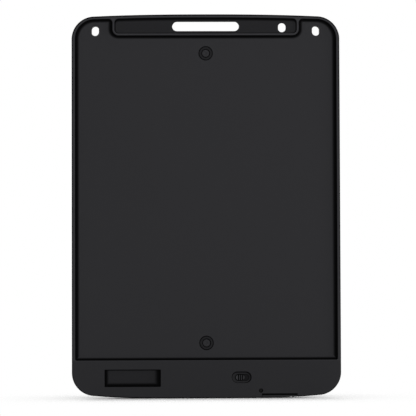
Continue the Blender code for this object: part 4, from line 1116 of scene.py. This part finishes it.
def magnet_seat(skin, centre):
    """Ring-shaped pocket, dimpled post and the boss behind them, turned about one axis."""
    ring = disc(centre, POCKET_RADIUS)
    # Painted shade: the pocket's walls and floor dark, the post dark down its side and light on top
    skin.carry(ring, mouth(HOLE_LIP, MAGNET_POCKET_END, PANEL_DEPTH), polish=lip_painted_shade(0.0))
    skin.flat(MAGNET_POCKET_END, ring(), disc(centre, POST_RADIUS)(), polish=1.0)
    top, post, edge, hollow = PANEL_DEPTH, POST_RADIUS, POST_CHAMFER, DIMPLE_RADIUS
    section = [(post, MAGNET_POCKET_END), (post, top + edge), (post - edge, top), (post - 2 * edge, top),
               (hollow + SUPPORT, top), (hollow, top + SUPPORT), (hollow / 2, top + DIMPLE_DEPTH),
               (0.0, top + DIMPLE_DEPTH)]
    skin.turned(centre, section, POST_PAINTED_SHADE)
    skin.turned(centre, [(BOSS_RADIUS, BOSS_START), (BOSS_RADIUS, BOSS_END), (0.0, BOSS_END)])


def front_frame(finish):
    """The bezel: window, stylus trough, key hole and bosses, built as the rear shell is."""
    skin = Skin()
    window = box(WINDOW, WINDOW_CORNER, WINDOW_STEPS)
    key = oval((0.0, KEY_HEIGHT), (KEY_SIZE[0] + 2 * FIT_GAP, KEY_SIZE[1] + 2 * FIT_GAP))
    hole = HOLE_LIP + SUPPORT
    front = CASE_DEPTH

    bezel_edge(skin)
    trough = string_outlines(LIP + SUPPORT)[0]
    skin.flat(front, outline(-FRONT_ROUND - SUPPORT), window(WINDOW_BEVEL + SUPPORT), trough, key(hole),
              *[shape(hole) for shape in HANGING])
    skin.carry(window, [(WINDOW_BEVEL + SUPPORT, front), (WINDOW_BEVEL, front), (0.0, front - WINDOW_BEVEL),
                        (0.0, BEZEL_INSIDE)])
    skin.carry(key, flipped(mouth(HOLE_LIP, front - BEZEL_INSIDE), front))
    for shape in HANGING:
        skin.carry(shape, flipped(mouth(HOLE_LIP, front - BEZEL_START), front))
        skin.carry(shape, [(0.0, BEZEL_START), (WALL, BEZEL_START), (WALL, BEZEL_INSIDE)])
    tub = stylus_trough(skin)

    bosses = [(place, BOARD_BOSS_RADIUS, BOARD_BOSS_START, BOARD_BORE) for place in BOARD_BOSSES]
    bosses += [(DRAWER_SCREW, DRAWER_BOSS_RADIUS, DRAWER_BOSS_START, DRAWER_BORE)]
    # The faces inside the bezel are darkened with painted shade
    skin.flat(BEZEL_INSIDE, outline(-WALL), tub, window(), key(), *[shape(WALL) for shape in HANGING],
              *[disc(place, radius)() for place, radius, _, _ in bosses], polish=INSIDE_PAINTED_SHADE)
    for place, radius, start, bore in bosses:
        skin.turned(place, [(radius, BEZEL_INSIDE), (radius, start), (bore, start), (bore, BORE_END),
                            (0.0, BORE_END)])
    skin.piece("moulded_front_frame", finish, "case", "front_frame")


def bezel_edge(skin):
    """The front edge's round and the wall back to the parting line, cut square at the drawer mouth."""
    front = CASE_DEPTH
    rows = [(-inset, front - rise) for inset, rise in quarter(FRONT_ROUND, EDGE_STEPS)]
    skin.carry(outline, [(-FRONT_ROUND - SUPPORT, front), *rows, (0.0, MOUTH_END)])
    section = [(0.0, MOUTH_END), (0.0, BEZEL_START + PARTING_CHAMFER), (PARTING_CHAMFER, BEZEL_START),
               (WALL, BEZEL_START), (WALL, MOUTH_END)]
    skin.carry(mouth_outline, [(-inset, depth) for inset, depth in section], False)
    skin.carry(outline, [(-WALL, MOUTH_END), (-WALL, BEZEL_INSIDE)])
    bit = slice(MOUTH_FIRST, MOUTH_LAST + 1)
    skin.band([(MOUTH_END, outline()[bit]), (MOUTH_END, outline(-WALL)[bit])], False)
    for x in (MOUTH_LEFT, MOUTH_RIGHT):
        wall_end(skin, x, section)


def stylus_trough(skin):
    """The trough with the slot and the string hole through its floor. Returns the tub's outline round it."""
    rows = flipped(mouth(LIP, CASE_DEPTH - TROUGH_FLOOR), CASE_DEPTH)
    skin.band([(depth, string_outlines(out)[0]) for out, depth in rows])
    _, floor, string = string_outlines()
    finger, tub = slot(SLOT_LIP)(), pocket(-TUB_INSET)
    skin.flat(TROUGH_FLOOR, floor, finger)
    for loop in (string, finger):
        skin.band([(TROUGH_FLOOR, loop), (TUB_BACK, loop)])
    skin.flat(TUB_BACK, tub, string, finger)
    skin.band([(TUB_BACK, tub), (BEZEL_INSIDE, tub)])
    return tub


# --- Small pieces ---

def ring_magnets(finish):
    """Each magnet is a rectangle with small chamfers turned about its axis."""
    bore, radius, back, front, edge = MAGNET_BORE, MAGNET_RADIUS, PANEL_DEPTH, MAGNET_END, MAGNET_EDGE
    profile = [(bore + edge, back), (radius - edge, back), (radius, back + edge), (radius, front - edge),
               (radius - edge, front), (bore + edge, front), (bore, front - edge), (bore, back + edge),
               (bore + edge, back)]
    for node, height in MAGNET_HEIGHTS.items():
        skin = Skin()
        skin.turned((0.0, height), profile)
        skin.piece("ring_" + node, finish, "case", node)


def lock_catch(finish):
    """The ribbed thumb on its plate.

    The thumb's top is a grid over a pill: columns along it, rows across it, both at sines of even steps. Its
    depth is the top's, plus a quarter round near the outline, plus grooves that fall off with the exponential
    of minus the fourth power of the distance from each groove's middle.
    """
    skin = Skin()
    (x, z), half, radius = THUMB_CENTRE, THUMB_SIZE[0] / 2, THUMB_SIZE[1] / 2
    steps = np.sin(np.linspace(-math.pi / 2, math.pi / 2, THUMB_COLUMNS))
    along = (half * steps)[:, None]
    beyond = np.maximum(np.abs(along) - (half - radius), 0.0)
    across = np.sqrt(np.maximum(radius ** 2 - beyond ** 2, 0.0)) * steps[::THUMB_ROW_EVERY]
    groove = sum(np.exp(-((along - middle) / GROOVE_HALF) ** 4) for middle in GROOVES)
    near = 1 - np.clip((radius - np.hypot(beyond, across)) / THUMB_ROUND, 0.0, 1.0)
    depth = THUMB_TOP + GROOVE_DEPTH * groove + THUMB_ROUND * (1 - np.sqrt(1 - near ** 2))
    top = np.stack([x + along + 0 * across, depth, z + across], axis=-1)
    # Painted shade in the grooves and along the thumb's edge
    skin.grid(top, False, np.maximum(np.minimum(groove, 1.0), np.minimum(near * THUMB_EDGE_PAINTED_SHADE, 1.0)))
    for edge in (top[:, 0], top[:, -1]):
        foot = edge.copy()
        foot[:, 1] = PLATE_BACK
        # Painted shade down the thumb's sides and on the plate, full in the socket
        skin.grid(np.stack([edge, foot]), False, [[1.0], [PLATE_PAINTED_SHADE]])
    rim = np.concatenate([top[:, 0], top[-2:0:-1, -1]])[:, [0, 2]]
    plate, socket = (box((x - wide, x + wide, z - high, z + high))
                     for wide, high in (PLATE_HALF, SOCKET_HALF))
    skin.flat(PLATE_BACK, plate(), rim, polish=PLATE_PAINTED_SHADE)
    skin.carry(plate, [(0.0, PLATE_BACK), (0.0, PLATE_FRONT)], polish=PLATE_PAINTED_SHADE)
    skin.flat(PLATE_FRONT, plate(), socket(), polish=PLATE_PAINTED_SHADE)
    skin.carry(socket, [(0.0, PLATE_FRONT), (0.0, SOCKET_END)], polish=1.0)
    skin.flat(SOCKET_END, socket(), polish=1.0)
    skin.piece("ribbed_lock_catch", finish, "lock_catch", "lock_slider")


def erase_key(finish):
    """The key: a pill carried from its hollow underside, over its flange and edge round, into a shallow dish.

    The dish's depth is one less the square of the way to its rim, times its greatest depth.
    """
    skin = Skin()
    front = CASE_DEPTH
    body = oval((0.0, KEY_HEIGHT), KEY_SIZE)
    rows = [(-WALL, KEY_CEILING), (-WALL, KEY_FLANGE_BACK), (KEY_FLANGE, KEY_FLANGE_BACK),
            (KEY_FLANGE, KEY_FLANGE_FRONT), (0.0, KEY_FLANGE_FRONT)]
    rows += [(-inset, front - rise) for inset, rise in quarter(KEY_EDGE)[::-1]]
    insets = np.linspace(KEY_EDGE + SUPPORT, KEY_DISH_REACH, KEY_RINGS)
    away = (KEY_DISH_REACH - insets) / (KEY_DISH_REACH - insets[0])
    rows += [(-inset, front - KEY_DISH * (1 - share ** 2)) for inset, share in zip(insets, away)]
    skin.carry(body, rows)
    skin.flat(front - KEY_DISH, body(-KEY_DISH_REACH))
    nub = disc((0.0, KEY_HEIGHT), NUB_RADIUS)
    skin.flat(KEY_CEILING, body(-WALL), nub())
    skin.carry(nub, [(0.0, KEY_CEILING), (0.0, NUB_BACK)])
    skin.flat(NUB_BACK, nub())
    skin.piece("dished_erase_key", finish, "erase_key", "erase_button")


def coin_cell(finish):
    """The cell: cap, crimped gasket groove and can, one section turned about the cell's axis."""
    skin = Skin()
    parts = [(CELL_CAP, CELL_BACK, CAP_SECTION), (CELL_RADIUS, CELL_BACK, CRIMP_SECTION),
             (CELL_RADIUS, CELL_FRONT, CAN_SECTION)]
    section = [(radius + out, level + rise) for radius, level, steps in parts for out, rise in steps]
    skin.turned(CELL_CENTRE, [(0.0, CELL_BACK), *section, (0.0, section[-1][1])], steps=CELL_STEPS)
    skin.piece("lithium_coin_cell", finish, "cell_drawer", "coin_cell")


def cross_screw(name, finish, centre, sizes, node):
    """A domed head with a cross recess, as depths over radius and angle, and a threaded shank under it.

    The recess is full where the nearer of the two arms' middles lies within half an arm, and fades out to the
    cross's span; the thread is a row of even ridges along the shank.
    """
    skin = Skin()
    back, radius, thickness, shank = sizes
    angles = np.linspace(0, 2 * math.pi, SCREW_STEPS + 1)[:-1][None, :]
    radii = (radius - SCREW_DOME) * np.linspace(TIP_RADIUS, 1, SCREW_RINGS)[:, None]
    nearest = np.minimum(np.abs(radii * np.cos(angles)), np.abs(radii * np.sin(angles)))
    arm = np.clip((CROSS_ARM / 2 - nearest) / SUPPORT + 0.5, 0.0, 1.0)
    span = np.clip((radius * CROSS_SPAN - radii) / SUPPORT / 2 + 0.5, 0.0, 1.0)
    depth = back + CROSS_DEPTH * arm * span + SCREW_DOME * DOME_SHARE * (radii / radius) ** 2
    grid = np.stack([centre[0] + radii * np.cos(angles), depth, centre[1] + radii * np.sin(angles)], axis=-1)
    skin.grid(grid)
    seat = back + thickness
    rim = depth[-1, 0]
    skin.turned(centre, [(radius - SCREW_DOME, rim), (radius, back + 2 * SCREW_DOME), (radius, seat),
                         (shank, seat)], steps=SCREW_STEPS)
    turns = np.arange(seat, SCREW_TIP - THREAD_PITCH, THREAD_PITCH / 2)
    ridges = [(shank - THREAD_DEPTH * (index % 2), level) for index, level in enumerate(turns)]
    skin.turned(centre, [*ridges, (shank / 2, SCREW_TIP), (0.0, SCREW_TIP)], steps=SCREW_STEPS)
    skin.piece(name, finish, "case", node)


def cell_drawer(finish):
    """A merged copy of the drawer's solid, its edges rounded by a Bevel."""
    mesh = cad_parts["battery_drawer"].data.copy()
    piece = settle(mesh, "cell_drawer_tray", finish, "cell_drawer", "battery_drawer")
    bevel = piece.modifiers.new("edge round", "BEVEL")
    bevel.width = DRAWER_BEVEL * MM
    bevel.segments = BEVEL_SEGMENTS
    bevel.limit_method = "ANGLE"
    bevel.angle_limit = SMOOTH_LIMIT
    bevel.harden_normals = True


# --- Studio ---

# How strongly the white surroundings light things
AMBIENT = 0.28

# Floor: half its width in metres, size of its blotches, half the tablet's foot, and the fade of the painted
# contact
# shadow: its reach before and behind the foot, how much slower it fades beside it, and the fade's power
FLOOR_HALF = 6.0
BLOTCH = 60.0
CONTACT_HALF = 55.0
SHADOW_REACH = 11.0
SIDE_SHARE = 0.3
SHADOW_POWER = 1.4

# Lamps, in metres: a large soft key beside the camera, one from the right that grazes the rim, and one for
# the writing side, each with its place, size and power
LAMP_TARGET = (0.0, 0.0, -0.11)
LAMPS = {
    "key_softbox": ((0.5, -1.7, 0.2), 1.2, 25.0),
    "rim_softbox": ((1.9, -0.25, 0.1), 0.9, 34.0),
    "front_softbox": ((-0.7, 1.8, 0.6), 1.4, 34.0),
}

# Camera: film width and lens in millimetres, place in metres, turn in degrees
CAMERA_FILM = 36.0
CAMERA_LENS = 129.29
CAMERA_PLACE = (-0.01228, -1.0, -0.14412)
CAMERA_TURN = (91.4185, 0.18738, -0.77)


def studio_world():
    """White where it is seen or mirrored, a plain grey where it lights."""
    world = bpy.data.worlds.new("studio")
    world.use_nodes = True
    surround = Network(world.node_tree)
    background = world.node_tree.nodes["Background"]
    surround.join(background.inputs["Color"], (1.0, 1.0, 1.0, 1.0))
    surround.join(background.inputs["Strength"], AMBIENT + surround.seen() * (1 - AMBIENT))
    bpy.context.scene.world = world


def floor():
    """A wide pale floor with a painted contact shadow near the tablet's foot.

    It is solid and lit near the foot and clears with one less the exponential of minus a power of the distance
    from the foot, so the shadow's fade is painted by distance rather than cast by the lamps. Where it is clear
    the camera looks through it at the white surroundings. Lamps shine through all of it, on a drawer that is
    pulled down below it. Everything else meets it as a solid floor.
    """
    mesh = bpy.data.meshes.new("studio_floor")
    corners = [(-1, -1), (1, -1), (1, 1), (-1, 1)]
    mesh.from_pydata([(x * FLOOR_HALF, y * FLOOR_HALF, FLOOR_LEVEL) for x, y in corners], [], [(0, 1, 2, 3)])
    made = Finish("floor_pale", Roughness=0.9, Specular_IOR_Level=0.0)
    made.feed("Base Color", made.blend(made.noise(BLOTCH), grey(0.78), grey(0.82)))
    x, depth, _ = made.axes()
    beside = (x.size() - CONTACT_HALF).larger(0.0) * SIDE_SHARE
    before = ((depth - CASE_DEPTH / 2).size() - CASE_DEPTH / 2).larger(0.0)
    away = (beside * beside + before * before).root()
    # Painted contact shadow: the floor clears with distance from the foot
    clear = 1 - ((away / SHADOW_REACH) ** SHADOW_POWER * -1.0).exponential()
    made.feed("Alpha", 1 - (made.seen() * clear).larger(made.ray("Is Shadow Ray")))
    mesh.materials.append(made.material)
    plane = bpy.data.objects.new("studio_floor", mesh)
    bpy.context.scene.collection.objects.link(plane)


def softbox(name, place, size, power):
    """A square area light that faces the tablet. Gloss mirrors the white surroundings and not the light."""
    light = bpy.data.lights.new(name, "AREA")
    light.shape = "SQUARE"
    light.size = size
    light.energy = power
    lamp = bpy.data.objects.new(name, light)
    lamp.location = place
    lamp.rotation_euler = (Vector(LAMP_TARGET) - Vector(place)).to_track_quat("-Z", "Y").to_euler()
    lamp.visible_glossy = False
    bpy.context.scene.collection.objects.link(lamp)


def camera():
    """A long lens a metre behind the tablet, a little below its middle and looking slightly up."""
    lens = bpy.data.cameras.new("camera")
    lens.sensor_width = CAMERA_FILM
    lens.lens = CAMERA_LENS
    eye = bpy.data.objects.new("camera", lens)
    eye.location = CAMERA_PLACE
    eye.rotation_euler = [math.radians(angle) for angle in CAMERA_TURN]
    bpy.context.scene.collection.objects.link(eye)
    bpy.context.scene.camera = eye


def build():
    """Make the pieces, their finishes and the studio."""
    case = moulded("case_satin", CASE_TONE, 0.46, case_shade)
    finishes = {**small_mouldings(), **metals(), **others()}
    back_cover(case)
    front_frame(case)
    ring_magnets(finishes["magnet_coating"])
    cell_drawer(finishes["drawer_plastic"])
    coin_cell(finishes["cell_steel"])
    lock_catch(finishes["slider_plastic"])
    erase_key(finishes["key_plastic"])
    cross_screw("black_drawer_screw", finishes["screw_black_oxide"], DRAWER_SCREW,
                DRAWER_SCREW_SHAPE, "drawer_screw")
    for place, node in zip(BOARD_BOSSES, ("board_screw_left", "board_screw_right")):
        cross_screw("pan_" + node, finishes["screw_zinc"], place, BOARD_SCREW_SHAPE, node)
    dress_nodes(finishes)
    studio_world()
    floor()
    for name, lamp in LAMPS.items():
        softbox(name, *lamp)
    camera()


build()
bpy.context.scene.view_settings.view_transform = "Standard"
